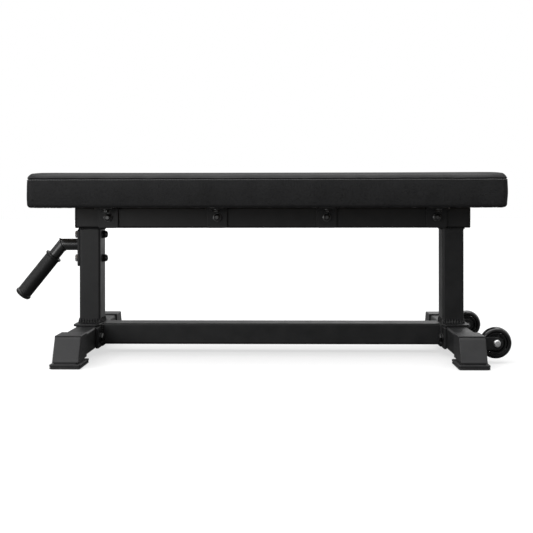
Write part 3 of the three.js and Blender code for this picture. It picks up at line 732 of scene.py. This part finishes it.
def bracket(node, side):
    """Bent strap: up the spine's flank, round a bend and out under the pad.

    Its path is two straights joined by a quarter circle, and its width follows the flat pattern:
    rounded corners where it starts and chamfers where it ends.
    """
    box_low, box_high = low(node), high(node)
    thick, bend = BRACKET_THICK, 6.0
    inner = min(abs(box_low[1]), abs(box_high[1]))
    reach = abs(box_high[1] - box_low[1])
    half = extent(node)[0] / 2
    down = extent(node)[2]
    arm = bend - thick / 2
    leg = down - bend
    sweep = np.linspace(0, math.pi / 2, 8)
    foot_steps = np.concatenate([[0, 0.15, 0.5, 1.2, 2.4, 4.0, 6.0, 6.6], [leg * 0.5, leg - 0.4]])
    shelf = reach - bend
    shelf_steps = np.concatenate([[0.4, shelf * 0.4], shelf - np.array([10.6, 10, 5, 1.0, 0.5, 0.15, 0])])
    mid = inner + thick / 2
    leg_rows = np.stack([np.full(len(foot_steps), mid), box_low[2] + foot_steps], -1)
    bend_rows = np.stack([mid + arm * (1 - np.cos(sweep)), box_high[2] - bend + arm * np.sin(sweep)], -1)
    shelf_rows = np.stack([mid + arm + shelf_steps, np.full(len(shelf_steps), box_high[2] - thick / 2)], -1)
    rows = np.concatenate([leg_rows, bend_rows, shelf_rows])
    away = np.concatenate([np.tile([1.0, 0.0], (len(foot_steps), 1)),
                           np.stack([np.cos(sweep), -np.sin(sweep)], -1),
                           np.tile([0.0, -1.0], (len(shelf_steps), 1))])
    round_off = 6 - np.sqrt(np.clip(36 - (6 - np.minimum(foot_steps, 6)) ** 2, 0, None))
    left_over = shelf - shelf_steps
    chamfer = np.where(left_over < 10, 5 * (1 - left_over / 10), 0)
    width = half - np.concatenate([round_off, np.zeros(len(sweep)), chamfer])
    gone = np.concatenate([foot_steps, np.full(len(sweep), 9.0), left_over])
    ease = np.clip(1 - gone / 0.8, 0, 1) * 0.6
    centres = np.stack([np.full(len(rows), middle(node)[0]), side * rows[:, 0], rows[:, 1]], -1)
    normal = np.stack([np.zeros(len(away)), side * away[:, 0], away[:, 1]], -1)
    outlines = rounded(width - ease, thick / 2 - ease, 0.8, 3, 0.4)
    return skin(swept(centres, X, normal, outlines))


spine_half = extent("spine_beam")[1] / 2
face_out = spine_half + TOUCH + BRACKET_THICK
for number in range(1, 5):
    for place, side in PLACES:
        node = f"pad_bracket_{place}_{number}"
        piece(f"{node}_coated", [bracket(node, side)], PAINT, [node])
        node = f"pad_bolt_{place}_{number}"
        under = np.array([middle(node)[0], middle(node)[1], high(beam)[2] - BRACKET_THICK])
        skins = bolt_head(M8, M8["head"], under, -Z)
        skins.append(threaded(M8, -TOUCH, -16, under, -Z))
        piece(f"{node}_plated", skins, BLACK_ZINC, [node])
    node = f"spine_bolt_{number}"
    along, height = middle(node)[0], middle(f"spine_nut_{number}")[2]
    rear = np.array([along, face_out, height])
    front = np.array([along, -face_out, height])
    tip = -low(node)[1] - face_out
    piece(f"{node}_plated", bolt_head(M10, M10["head"], rear, Y), BLACK_ZINC, [node])
    nut = f"spine_nut_{number}"
    piece(f"{nut}_plated", lock_nut(M10, SPINE_NUT, front, -Y, tip), BLACK_ZINC, [nut])

# ---------------------------------------------------------------- lifting handle

plate = "handle_plate"
coated(plate, "x", 6, 1.0)

TUBE_RADIUS = 14.0
ELBOW_REACH = 40.2
GRIP_START, GRIP_RADIUS, GRIP_RIDGES = 34.0, 17.6, 44
drop = math.radians(51)
arm_start = high("handle_tube")[0]
elbow = np.array([arm_start - ELBOW_REACH, 0, high("handle_tube")[2] - TUBE_RADIUS])
slant = np.array([-math.cos(drop), 0, -math.sin(drop)])
slant_up = np.array([-math.sin(drop), 0, math.cos(drop)])
turn, _ = spokes(64, Y, Z)
beside = TUBE_RADIUS * np.cos(turn)[:, None] * Y
mitre = math.tan(drop / 2) * TUBE_RADIUS * np.sin(turn)[:, None] * -X


def level_ring(x):
    """Ring of the handle's level arm at a place along X."""
    return beside + TUBE_RADIUS * np.sin(turn)[:, None] * Z + np.array([x, 0, elbow[2]])


def slanted_ring(distance):
    """Ring of the handle's slanted arm, so far from the elbow."""
    return elbow + distance * slant + beside + TUBE_RADIUS * np.sin(turn)[:, None] * slant_up


joint_ring = level_ring(elbow[0]) + mitre
rings = [level_ring(arm_start), level_ring(arm_start - 0.5), level_ring(elbow[0] + 9), joint_ring]
rings += [slanted_ring(9), slanted_ring(60), slanted_ring(149)]
piece("handle_tube_coated", [skin(np.stack(rings))], GLOSS, ["handle_tube"])

elbow_path = resampled(joint_ring, PATH_STEP)
outward = elbow_path - elbow
outward /= np.linalg.norm(outward, axis=1)[:, None]
seam_direction = (X - slant) / np.linalg.norm(X - slant)
weld_skins = [bead(elbow_path - 0.6 * seam_direction, outward, seam_direction, 1.7, 3.6, 41)]
piece("weld_handle_elbow", weld_skins, GLOSS)
path = resampled(level_ring(arm_start), PATH_STEP)
outward = path - np.array([arm_start, 0, elbow[2]])
outward /= np.linalg.norm(outward, axis=1)[:, None]
piece("weld_handle_plate", [bead(path, outward, -X, 3.2, 4.0, 43)], PAINT)


def grip():
    """Moulded grip: a turned profile whose hand length is knurled by two crossing helices."""
    hand = np.linspace(7.5, 114, 170)
    mouth = [(14.3, 40), (14.3, 0.6), (14.9, 0), (19.8, 0), (20.4, 0.5), (20.6, 1.2), (20.6, 3.4)]
    mouth += [(20.2, 4.2), (19.0, 4.6), (18.7, 5.2), (18.6, 6.2), (17.6, 6.9)]
    tail = [(17.8, 114.5), (18.8, 115), (19.4, 115.8), (19.6, 117), (19.6, 119.6), (19.2, 120.7)]
    tail += arc(0, 120.8, 18.7, 4, 88, 12, 6.0 / 18.7)
    profile = np.array(mouth + [(GRIP_RADIUS, h) for h in hand] + tail)
    direction, first, second = square_to(slant)
    around, radial = spokes(176, first, second)
    along = profile[:, 1:]
    knurled = (along > 7.4) & (along < 114.1) & (profile[:, :1] == GRIP_RADIUS)
    helix = GRIP_RIDGES * around
    twist = along * GRIP_RIDGES / GRIP_RADIUS
    weave = np.cos(helix / 2 + twist / 2) * np.cos(helix / 2 - twist / 2)
    radius = profile[:, :1] + np.where(knurled, 0.34 * weave, 0)
    origin = elbow + GRIP_START * slant
    return skin(origin + radius[..., None] * radial + along[..., None] * direction)


piece("handle_grip_moulded", [grip()], GRIP_RUBBER, ["handle_grip"])

for number in (1, 2):
    node = f"handle_bolt_{number}"
    face = np.array([low(plate)[0], 0, middle(node)[2]])
    piece(f"{node}_plated", bolt_head(M10, HANDLE_HEAD, face, -X), ZINC, [node])
    nut = f"handle_nut_{number}"
    wall = np.array([high("upright_left")[0], 0, middle(node)[2]])
    tip = high(node)[0] - wall[0]
    piece(f"{nut}_plated", lock_nut(M10, HANDLE_NUT, wall, X, tip - 2.0), BLACK_ZINC, [nut])

# ---------------------------------------------------------------- transport wheels


def fork(node):
    """U-shaped strap round a wheel: two straights and a back joined by small bends.

    Its height is that of the strap until the axle, where each arm's end is a half circle.
    """
    thick = 3.5
    outer = extent(node)[1] / 2
    half = extent(node)[2] / 2
    back = low(node)[0]
    axle = high(node)[0] - half
    side = outer - thick / 2
    bend = thick
    beyond = half * np.sin(np.linspace(0.5 * math.pi, 0, 12)) - 0.02
    arm = np.stack([axle + beyond, np.full(12, -side)], -1)
    root = np.array([[back + thick / 2 + bend + 0.5, -side]])
    sweep = np.linspace(0, math.pi / 2, 6)
    pivot = np.array([back + thick / 2 + bend, bend - side])
    corner = pivot - bend * np.stack([np.sin(sweep), np.cos(sweep)], -1)
    first_half = np.concatenate([arm, root, corner])
    straight = np.tile([0.0, -1.0], (len(arm) + 1, 1))
    turning = np.stack([-np.sin(sweep), -np.cos(sweep)], -1)
    first_out = np.concatenate([straight, turning])
    mirror = np.array([1, -1])
    rows = np.concatenate([first_half, first_half[::-1] * mirror])
    out = np.concatenate([first_out, first_out[::-1] * mirror])
    round_end = np.sqrt(np.clip(half**2 - np.clip(rows[:, 0] - axle, 0, half) ** 2, 0.2, None))
    centre = middle(node)
    centres = np.stack([rows[:, 0], centre[1] + rows[:, 1], np.full(len(rows), centre[2])], -1)
    normal = np.stack([out[:, 0], out[:, 1], np.zeros(len(out))], -1)
    return skin(swept(centres, Z, normal, rounded(round_end, thick / 2, 0.7, 3, 0.4)))


def hub(centre):
    """Nylon hub: boss, web and rim from one turned profile, with eight ribs on each face."""
    half = [(4.1, 12.2), (9.9, 12.2), (10.8, 11.6), (11, 11), (11.2, 2.6), (12.2, 1.5)]
    half += [(18.6, 1.5), (19.4, 2.4), (19.6, 8.0), (20.2, 8.6), (22.6, 8.6), (23.2, 8.0)]
    profile = half + [(radius, -height) for radius, height in half[::-1]]
    skins = [turned(profile, centre, Y, 72)]
    for face in (-1, 1):
        for number in range(8):
            angle = number * math.pi / 4 + math.pi / 8
            out = np.array([math.cos(angle), 0, math.sin(angle)])
            across = np.cross(out, Y)
            rows = np.array([10.5, 12, 18, 19.8])
            lift = np.array([8.0, 6.6, 6.2, 7.6])
            centres = centre + rows[:, None] * out + (face * lift / 2)[:, None] * Y
            skins.append(skin(swept(centres, across, Y, rounded(np.full(4, 1.5), lift / 2, 0.5, 2, 0.2))))
    return skins


def tyre(centre):
    """Cast tyre: bulged cheeks and a round tread with a faint parting line."""
    profile = [(23.5, -9.2), (24.8, -9.9), (25.6, -11.2)]
    profile += arc(26.0, 0, 9.0, -80, -2, 22, 12.0 / 9.0)
    profile += [(35.12, 0)]
    profile += arc(26.0, 0, 9.0, 2, 80, 22, 12.0 / 9.0)
    profile += [(25.6, 11.2), (24.8, 9.9), (23.5, 9.2)]
    profile = np.array(profile)
    _, radial = spokes(96, X, Z)
    rings = centre + profile[:, :1, None] * radial + profile[:, 1, None, None] * Y
    return skin(rings, loop=True)


for place, side in PLACES:
    body = f"wheel_{place}"
    node = f"wheel_fork_{place}"
    piece(f"{node}_coated", [fork(node)], PAINT, [node])
    size = extent(node)
    root = np.array([low(node)[0] + 0.2, middle(node)[1], middle(node)[2]])
    path, outward = round_tube(root, size[1] - 1.5, size[2], 1.5, Y, Z)
    piece(f"weld_{node}", [bead(path, outward, X, 2.6, 4.0, 51 + side)], PAINT)
    centre = middle(f"wheel_tyre_{place}")
    piece(f"wheel_hub_{place}_moulded", hub(centre), HUB_NYLON, [f"wheel_hub_{place}"], body)
    piece(f"wheel_tyre_{place}_cast", [tyre(centre)], TYRE_URETHANE, [f"wheel_tyre_{place}"], body)
    node = f"wheel_axle_{place}"
    arm = size[1] / 2
    head = [(0.3, arm + TOUCH), (7.9, arm + TOUCH), (8.2, arm + 0.7), (8.2, arm + 2.2)]
    head += [(7.9, arm + 3.2), (7.0, arm + 4.3), (5.2, arm + 5.1), (4.6, arm + 5.2), (0.3, arm + 5.3)]
    shank = [(4.0, -arm - 1), (4.0, arm + 1)]
    skins = [turned(head, centre, side * Y, 48), turned(shank, centre, Y, 48)]
    skins.append(hex_block(M8["flats"], -arm - TOUCH, -arm - TOUCH - 6.5, centre, side * Y))
    skins.append(threaded(M8, -arm - 1, -arm - 9, centre, side * Y))
    skins[2:] = [(points, faces, BLACK_ZINC) for points, faces in skins[2:]]
    piece(f"{node}_plated", skins, ZINC, [node])

# ---------------------------------------------------------------- pad

pad_low, pad_high = low("pad_cover"), high("pad_cover")
pad_centre = (pad_low + pad_high) / 2
HALF_LENGTH, HALF_WIDTH = (pad_high - pad_low)[:2] / 2
PLAN_CORNER = 12.0
PAD_BOTTOM, PAD_TOP = pad_low[2], pad_high[2]
SEAM = PAD_TOP - 14.4
BOARD_BOTTOM, BOARD_TOP = low("pad_board")[2], high("pad_board")[2]
HEM_WIDTH = 28.0
CLOTH_CELL, CLOTH_FRAMES, CLOTH_CAP = 6, 20, 5


def plan_stops(side_step, corner_step):
    """Distances round the pad's plan from the middle of its left end, closer together at corners."""
    short = HALF_WIDTH - PLAN_CORNER
    quarter = PLAN_CORNER * math.pi / 2
    long = 2 * (HALF_LENGTH - PLAN_CORNER)
    marks = np.cumsum([0, short, quarter, long, quarter, short])
    steps = [side_step, corner_step, side_step, corner_step, side_step]
    pieces = [
        np.linspace(start, stop, max(2, int((stop - start) / step)), endpoint=False)
        for start, stop, step in zip(marks[:-1], marks[1:], steps)
    ]
    half = np.concatenate(pieces + [marks[-1:]])
    return np.concatenate([half, 2 * marks[-1] - half[-2:0:-1]]), marks


def plan_point(travelled, marks):
    """Point and outward direction on the plan's rounded rectangle, so far round from its left end."""
    total = 2 * marks[-1]
    rear = travelled > marks[-1]
    run = np.where(rear, total - travelled, travelled)
    short, bend, long_end, second = marks[1:5]
    angle = np.select(
        [run < short, run < bend, run < long_end, run < second],
        [math.pi + 0 * run, math.pi + (run - short) / PLAN_CORNER, 1.5 * math.pi + 0 * run,
         1.5 * math.pi + (run - long_end) / PLAN_CORNER],
        2 * math.pi + 0 * run,
    )
    out = np.stack([np.cos(angle), np.sin(angle)], -1)
    flat_x, flat_y = HALF_LENGTH - PLAN_CORNER, HALF_WIDTH - PLAN_CORNER
    x = np.select(
        [run < bend, run < long_end],
        [-flat_x + 0 * run, -flat_x + (run - bend)],
        flat_x + 0 * run,
    )
    y = np.select(
        [run < short, run < second],
        [-run, -flat_y + 0 * run],
        -flat_y + (run - second),
    )
    point = np.stack([x, y], -1) + PLAN_CORNER * out
    flip = np.where(rear, -1, 1)
    point[:, 1] *= flip
    out[:, 1] *= flip
    return point, out


def pad_rows(fine):
    """(inset, height) rows of the pad's outer skin, from the hem's fold up over its crown.

    Underneath a small round, then a flank that leans out to the middle and back, a seam,
    a rounded shoulder and a top that rises gently to its middle.
    """
    turn = np.linspace(0, math.pi / 2, 7 if fine else 4)
    lower = np.stack([8 * (1 - np.sin(turn)) + 0.6, PAD_BOTTOM + 8 * (1 - np.cos(turn))], -1)
    flank = np.linspace(PAD_BOTTOM + 12, SEAM - 3, 16 if fine else 9)
    lean = 0.6 - 1.1 * np.sin(math.pi * (flank - PAD_BOTTOM - 9) / (SEAM - PAD_BOTTOM - 9))
    seam = np.linspace(SEAM - 2.4, SEAM + 2.4, 13 if fine else 3)
    shoulder_turn = np.linspace(0.12, math.pi / 2, 11 if fine else 5)
    shoulder = np.stack(
        [1.0 + 11.4 * (1 - np.cos(shoulder_turn)), SEAM + 2 + 11.2 * np.sin(shoulder_turn)], -1
    )
    inward = np.linspace(17, HALF_WIDTH * 0.965, 30 if fine else 18)
    rise = SEAM + 13.2 + 3.2 * (1 - (1 - (inward - 13) / (HALF_WIDTH - 13)) ** 3)
    return np.concatenate([
        lower,
        np.stack([lean, flank], -1),
        np.stack([np.full(len(seam), 0.6), seam], -1),
        shoulder,
        np.stack([inward, rise], -1),
    ])


def pad_rings(rows, travelled, marks):
    """Rings of the pad: each plan point moves towards the pad's middle line by its row's inset."""
    edge, out = plan_point(travelled, marks)
    spine_half_length = HALF_LENGTH - HALF_WIDTH
    goal = np.stack([np.clip(edge[:, 0], -spine_half_length, spine_half_length), 0 * edge[:, 1]], -1)
    near = edge[None] - rows[:, :1, None] * out[None]
    share = (rows[:, 0] / HALF_WIDTH)[:, None, None]
    far = edge[None] + (goal - edge)[None] * share
    blend = np.clip((rows[:, 0] - 10) / 30, 0, 1)[:, None, None]
    plan = near * (1 - blend) + far * blend
    height = np.broadcast_to(rows[:, 1][:, None, None], (*plan.shape[:2], 1))
    return np.concatenate([plan, height], -1) + np.array([pad_centre[0], pad_centre[1], 0])


def ladder(count, start, reverse):
    """Faces across the slot that a ring leaves round the middle line, between its front and rear points."""
    half = count // 2
    front = np.arange(1, half - 1)
    quads = np.stack([front, front + 1, count - front - 1, count - front], -1) + start
    tips = [[start, start + 1, start + count - 1], [start + half - 1, start + half, start + half + 1]]
    faces = quads.tolist() + tips
    return [face[::-1] for face in faces] if reverse else faces


def closed_pad(rings):
    """Skin over the pad's rings, shut by a ladder of faces along its middle line at both ends."""
    rows, columns = rings.shape[:2]
    points = rings.reshape(-1, 3)
    faces = grid_quads(rows, columns).tolist()
    faces += ladder(columns, 0, True)
    faces += ladder(columns, (rows - 1) * columns, False)
    return points, facing_out(points, faces)


def swollen_pad(rows, travelled, marks):
    """Pad blown up as cloth: a slightly thinner closed copy is remeshed, held along its underside
    and seam, filled with pressure, and kept within a few millimetres of its start."""
    small = rows.copy()
    small[:, 0] += 0.3
    small[:, 1] -= 4.4 * np.clip((small[:, 0] - 9) / 22, 0, 1)
    underside = np.array([[HALF_WIDTH * 0.95, PAD_BOTTOM], [60, PAD_BOTTOM], [28, PAD_BOTTOM]])
    points, faces = closed_pad(pad_rings(np.concatenate([underside, small]), travelled, marks))
    cloth = placed("pad_cloth", mesh_of("pad_cloth", points, faces))
    remesh = cloth.modifiers.new("remesh", "REMESH")
    remesh.mode = "VOXEL"
    remesh.voxel_size = CLOTH_CELL * MM
    applied = finished(cloth)
    cloth.modifiers.clear()
    cloth.data = applied
    rest = corners_of(applied)
    height = rest[:, 2] / MM
    held = (height < PAD_BOTTOM + 3.5) | (np.abs(height - SEAM) < 3.2)
    holding = cloth.vertex_groups.new(name="held")
    holding.add(np.flatnonzero(held).tolist(), 1.0, "REPLACE")
    modifier = cloth.modifiers.new("cloth", "CLOTH")
    settings = modifier.settings
    settings.quality = 5
    settings.mass = 0.4
    settings.tension_stiffness = 22
    settings.compression_stiffness = 22
    settings.shear_stiffness = 8
    settings.bending_stiffness = 1.2
    settings.use_pressure = True
    settings.uniform_pressure_force = 4
    settings.effector_weights.gravity = 0
    settings.vertex_group_mass = "held"
    modifier.point_cache.frame_start = 1
    modifier.point_cache.frame_end = CLOTH_FRAMES
    for step in range(1, CLOTH_FRAMES + 1):
        bpy.context.scene.frame_set(step)
    blown = finished(cloth)
    bpy.context.scene.frame_set(1)
    cloth.modifiers.clear()
    travel = corners_of(blown) - rest
    length = np.linalg.norm(travel, axis=1)[:, None]
    travel *= np.minimum(1, CLOTH_CAP * MM / np.maximum(length, 1e-9))
    blown.vertices.foreach_set("co", (rest + travel).ravel())
    cloth.data = blown
    return cloth


def laid_on(rings, rows, cloth):
    """Moves rings onto the blown cloth by a shrinkwrap, and evens out what each point moved.

    The flank is stretched tight over the board's edge, so it follows less than the top does.
    """
    quads = grid_quads(*rings.shape[:2]).tolist()
    fine = placed("pad_fine", mesh_of("pad_fine", rings.reshape(-1, 3), quads))
    wrap = fine.modifiers.new("wrap", "SHRINKWRAP")
    wrap.target = cloth
    travel = (corners_of(finished(fine)) / MM).reshape(rings.shape) - rings
    travel *= np.where((rows[:, 0] < 16) & (rows[:, 1] < SEAM + 3), 0.35, 1.0)[:, None, None]
    for _ in range(14):
        travel = (np.roll(travel, 1, 1) + 2 * travel + np.roll(travel, -1, 1)) / 4
        padded_rows = np.concatenate([travel[:1], travel, travel[-1:]])
        travel = (padded_rows[:-2] + 2 * travel + padded_rows[2:]) / 4
    for leftover in (fine, cloth):
        bpy.data.objects.remove(leftover)
    return rings + travel


def normals_of(rings):
    """Outward unit vectors of a grid, from its differences along and across."""
    along = np.roll(rings, -1, 1) - np.roll(rings, 1, 1)
    up = np.gradient(rings, axis=0)
    normal = np.cross(along, up)
    return normal / np.maximum(np.linalg.norm(normal, axis=-1), 1e-9)[..., None]


def sewn(rings, rows, travelled, marks):
    """Presses seams into the pad: a groove all round at the seam with a pucker at each stitch,
    an upright groove at each corner, and soft pulls in the vinyl that fade away from them."""
    height = rows[:, 1][:, None]
    flank = (rows[:, 0] < 16)[:, None]
    groove = 2.3 * np.exp(-(((height - SEAM) / 1.3) ** 2)) * flank
    pucker = 0.16 * np.sin(2 * math.pi * travelled / 6.0) * np.exp(-np.abs(height - SEAM) / 4.0) * flank
    lip = 0.5 * np.exp(-(((height - SEAM - 2.6) / 1.8) ** 2)) * flank
    total = 2 * marks[-1]
    lean = 0.72 * (marks[2] - marks[1])
    corners = [marks[1] + lean, marks[4] - lean]
    corners += [total - corner for corner in corners]
    below = flank & (height < SEAM + 0.5)
    press = np.zeros((len(rows), len(travelled)))
    for number, corner in enumerate(corners):
        away = travelled - corner
        press -= 1.9 * np.exp(-((away / 1.9) ** 2)) * below
        fade = np.exp(-np.abs(away) / 22) * flank
        fan = np.sin(away / 5.5 + (height - PAD_BOTTOM) / 7 * np.sign(away) + number)
        press += 0.28 * fan * fade * np.clip((SEAM - height) / 30, 0, 1)
    random = np.random.default_rng(7)
    drift = np.zeros_like(press)
    for _ in range(9):
        length = random.uniform(45, 190)
        turn = random.uniform(0, 6.28)
        rise = random.uniform(-0.03, 0.03)
        phase = 2 * math.pi * travelled / length + turn + rise * height * 2
        drift += random.uniform(0.08, 0.2) * np.sin(phase)
    return rings + (press + drift * flank + pucker + lip - groove)[..., None] * normals_of(rings)


def pad_inside(travelled, marks):
    """(inset, height) rings of the cover's inside: over the board, down past it and under the hem."""
    wave = 1.1 * np.sin(travelled / 17.0) + 0.8 * np.sin(travelled / 6.3 + 1)
    rows = np.array([
        [HALF_WIDTH * 0.965, BOARD_TOP + 0.3],
        [60, BOARD_TOP + 0.3],
        [9.0, BOARD_TOP + 0.3],
        [8.6, BOARD_TOP],
        [8.6, BOARD_BOTTOM + 1],
        [9.0, BOARD_BOTTOM - 0.2],
        [HEM_WIDTH - 0.6, BOARD_BOTTOM - 0.2],
        [HEM_WIDTH, BOARD_BOTTOM - 0.7],
        [HEM_WIDTH, PAD_BOTTOM + 0.6],
        [HEM_WIDTH - 0.6, PAD_BOTTOM + 0.1],
        [HEM_WIDTH - 3, PAD_BOTTOM],
        [14, PAD_BOTTOM],
    ])
    rings = pad_rings(rows, travelled, marks)
    _, out = plan_point(travelled, marks)
    shift = np.zeros((len(rows), len(travelled), 3))
    at_hem = ((rows[:, 0] > HEM_WIDTH - 4) & (rows[:, 0] < HEM_WIDTH + 1))[:, None, None]
    shift[..., :2] = -wave[None, :, None] * out[None] * at_hem
    return rings + shift


def stitches(rings, rows, drop=2.2, pitch=6.0):
    """Row of sewn stitches below the seam: small capsules laid along the cover, slightly sunk."""
    row = int(np.argmin(np.abs(rows[:, 1] - (SEAM - drop)) + 50 * (rows[:, 0] > 16)))
    line = np.vstack([rings[row], rings[row][:1]])
    outward = normals_of(rings)[row]
    outward = np.vstack([outward, outward[:1]])
    travelled = np.append(0, np.cumsum(np.linalg.norm(np.diff(line, axis=0), axis=1)))
    count = int(travelled[-1] / pitch)
    spots = np.linspace(0, travelled[-1], count, endpoint=False)
    reach = np.array([-2.1, -1.9, -1.0, 0, 1.0, 1.9, 2.1])
    size = np.array([0.15, 0.4, 0.6, 0.65, 0.6, 0.4, 0.15])
    stand = np.array([-0.35, -0.1, 0.22, 0.32, 0.22, -0.1, -0.35])
    stops = (spots[:, None] + reach) % travelled[-1]
    centre = walked(stops, travelled, line)
    lift = walked(stops, travelled, outward)
    turn = np.linspace(0, 2 * math.pi, 6, endpoint=False)
    ring = np.cos(turn)[:, None] * Z + np.sin(turn)[:, None] * lift[:, :, None]
    return many((centre + stand[:, None] * lift)[:, :, None] + size[:, None, None] * ring)


def staples(marks):
    """Staples that hold the hem: short flat bars laid across it at even steps, each a little askew."""
    count = 84
    random = np.random.default_rng(5)
    spots = np.linspace(0, 2 * marks[-1], count, endpoint=False) + random.uniform(-3, 3, count) + 9
    edge, out = plan_point(spots % (2 * marks[-1]), marks)
    tilt = random.uniform(-0.3, 0.3, count)
    along = np.stack([-out[:, 1], out[:, 0]], -1) * np.cos(tilt)[:, None] + out * np.sin(tilt)[:, None]
    along = np.concatenate([along, np.zeros((count, 1))], -1)
    across = np.cross(along, Z)
    centre = np.concatenate([edge - 19 * out, np.full((count, 1), PAD_BOTTOM - 0.15)], -1)
    centre += np.array([pad_centre[0], pad_centre[1], 0])
    reach = np.array([-5.2, -5.0, -4.4, 0, 4.4, 5.0, 5.2])
    lift = np.array([0.5, 0.1, 0, 0, 0, 0.1, 0.5])
    rings = centre[:, None] + reach[:, None] * along[:, None] + lift[:, None] * Z
    outline = rounded(0.6, 0.3, 0.2, 1, 0.1)[0]
    wide = outline[:, :1] * across[:, None, None] + outline[:, 1:] * Z
    return many(rings[:, :, None] + wide)


stops, marks = plan_stops(4.2, 0.9)
outer_rows = pad_rows(True)
outer = pad_rings(outer_rows, stops, marks)
coarse_stops, coarse_marks = plan_stops(8.0, 4.0)
outer = laid_on(outer, outer_rows, swollen_pad(pad_rows(False), coarse_stops, coarse_marks))
outer = sewn(outer, outer_rows, stops, marks)
cushion = piece(
    "pad_cushion", [closed_pad(np.concatenate([pad_inside(stops, marks), outer]))], VINYL,
    ["pad_cover", "pad_foam"], crease=60,
)
piece("pad_stitches", [stitches(outer, outer_rows)], THREAD)
piece("pad_staples", [staples(marks)], BLACK_ZINC)
board = "pad_board"
board_size = extent(board) - np.array([13.8, 13.8, 0])
piece("pad_board_plywood", [bar(middle(board), board_size, "z", 8, 0.8)], WOOD, [board])

# ---------------------------------------------------------------- floor, light and camera

# Pale sweep that glows for the lens, so it looks white and nearly shadowless; to the bench it is dim, except
# for a hidden glow along one diagonal that throws light back up
floor_finish, floor_shader = new_finish("floor_pale", Roughness=0.75, Specular_IOR_Level=0.0)
floor_tone = noise(floor_finish, stretched(floor_finish), 1.2, 2)
floor_shader.inputs["Emission Color"].default_value = (1, 1, 1, 1)
floor_sight = add_node(floor_finish, "ShaderNodeLightPath").outputs["Is Camera Ray"]
floor_seen = shaded(floor_finish, floor_tone, [(0.2, 0.32), (0.8, 0.34)])
floor_colour = mixed(floor_finish, floor_sight, (0.12, 0.12, 0.12, 1), floor_seen)
floor_axes = add_node(floor_finish, "ShaderNodeSeparateXYZ", {"Vector": stretched(floor_finish)})
floor_diagonal = reckoned(
    floor_finish, "MULTIPLY", floor_axes.outputs["X"], floor_axes.outputs["Y"]
)
# Painted glow: floor emission along the x*y diagonal, seen only by the bench, standing in for light thrown
# back up
hidden_glow = spread(floor_finish, floor_diagonal, 0.0, 0.3, 0.05, 1.2)
floor_glow = mixed(floor_finish, floor_sight, hidden_glow, 0.63, "FLOAT")
join_to(floor_finish, floor_shader, Base_Color=floor_colour, Emission_Strength=floor_glow)
FLOOR_REACH = 30
floor_mesh = bpy.data.meshes.new("floor")
floor_corners = [(x * FLOOR_REACH, y * FLOOR_REACH, 0) for x, y in ((-1, -1), (1, -1), (1, 1), (-1, 1))]
floor_mesh.from_pydata(floor_corners, [], [(0, 1, 2, 3)])
floor_mesh.materials.append(floor_finish)
floor = placed("floor", floor_mesh)

# The lens sees a white wall; the bench sees a dim room, brighter above and on one diagonal
ROOM_BASE, ROOM_DIAGONAL, ROOM_ABOVE, ROOM_BEHIND = 0.28, 3.0, 0.9, 0.3
world = bpy.data.worlds.new("studio")
world.use_nodes = True
white_wall = world.node_tree.nodes["Background"]
white_wall.inputs["Color"].default_value = (1, 1, 1, 1)
white_wall.inputs["Strength"].default_value = 1.0
room_direction = add_node(world, "ShaderNodeTexCoord").outputs["Generated"]
room_axes = add_node(world, "ShaderNodeSeparateXYZ", {"Vector": room_direction})
to_right, to_rear, up_high = (room_axes.outputs[axis] for axis in "XYZ")
diagonal = reckoned(world, "MULTIPLY", reckoned(world, "MULTIPLY", to_right, to_rear), ROOM_DIAGONAL)
diagonal = reckoned(world, "MINIMUM", reckoned(world, "MAXIMUM", diagonal, -0.25), 0.45)
above = reckoned(world, "MULTIPLY", reckoned(world, "MAXIMUM", up_high, 0.0), ROOM_ABOVE)
behind = reckoned(world, "MULTIPLY", reckoned(world, "MAXIMUM", to_rear, 0.0), ROOM_BEHIND)
glow = reckoned(world, "ADD", diagonal, above)
glow = reckoned(world, "ADD", glow, reckoned(world, "ADD", behind, ROOM_BASE))
glow = reckoned(world, "MAXIMUM", glow, 0.02)
dim_room = add_node(world, "ShaderNodeBackground", {"Strength": glow}).outputs["Background"]
seen_directly = add_node(world, "ShaderNodeLightPath").outputs["Is Camera Ray"]
walls = {"Fac": seen_directly, 1: dim_room, 2: white_wall.outputs["Background"]}
room = add_node(world, "ShaderNodeMixShader", walls).outputs["Shader"]
world.node_tree.links.new(room, world.node_tree.nodes["World Output"].inputs["Surface"])
bpy.context.scene.world = world


def softbox(name, place, aim, width, height, power):
    """Rectangular area light at a place, turned to face an aim point."""
    lamp = bpy.data.lights.new(name, "AREA")
    lamp.shape = "RECTANGLE"
    lamp.size, lamp.size_y = width, height
    lamp.energy = power
    back, first, second = square_to(np.array(place, float) - np.array(aim, float))
    facing = Matrix(np.stack([first, second, back], 1)).to_4x4()
    placed(name, lamp).matrix_world = Matrix.Translation(place) @ facing


softbox("key_softbox", (-1.9, -2.7, 0.9), (-0.3, 0, 0.25), 1.5, 1.5, 28)
overhead = bpy.data.lights.new("overhead_dome", "SUN")
overhead.energy = 2.9
overhead.angle = math.radians(75)
placed("overhead_dome", overhead).rotation_euler = (math.radians(-8), math.radians(-10), 0)

shift_x = (middle("upright_left")[0] + middle("upright_right")[0]) / 2
lens_point = np.array([shift_x + 40.9, -2475, 340.8]) * MM
camera_data = bpy.data.cameras.new("camera")
camera_data.sensor_width = 36
camera_data.lens = 69.59
camera_data.shift_x = 0.0017
camera_data.shift_y = -0.1079
camera_data.clip_end = 100
camera = placed("camera", camera_data)
turn_left, tip = 0.0218, -0.0012
camera.matrix_world = (
    Matrix.Translation(lens_point)
    @ Matrix.Rotation(turn_left, 4, "Z")
    @ Matrix.Rotation(math.pi / 2, 4, "X")
    @ Matrix.Rotation(tip, 4, "Z")
)
bpy.context.scene.camera = camera
bpy.context.scene.view_settings.view_transform = "Standard"
bpy.context.scene.view_settings.look = "None"
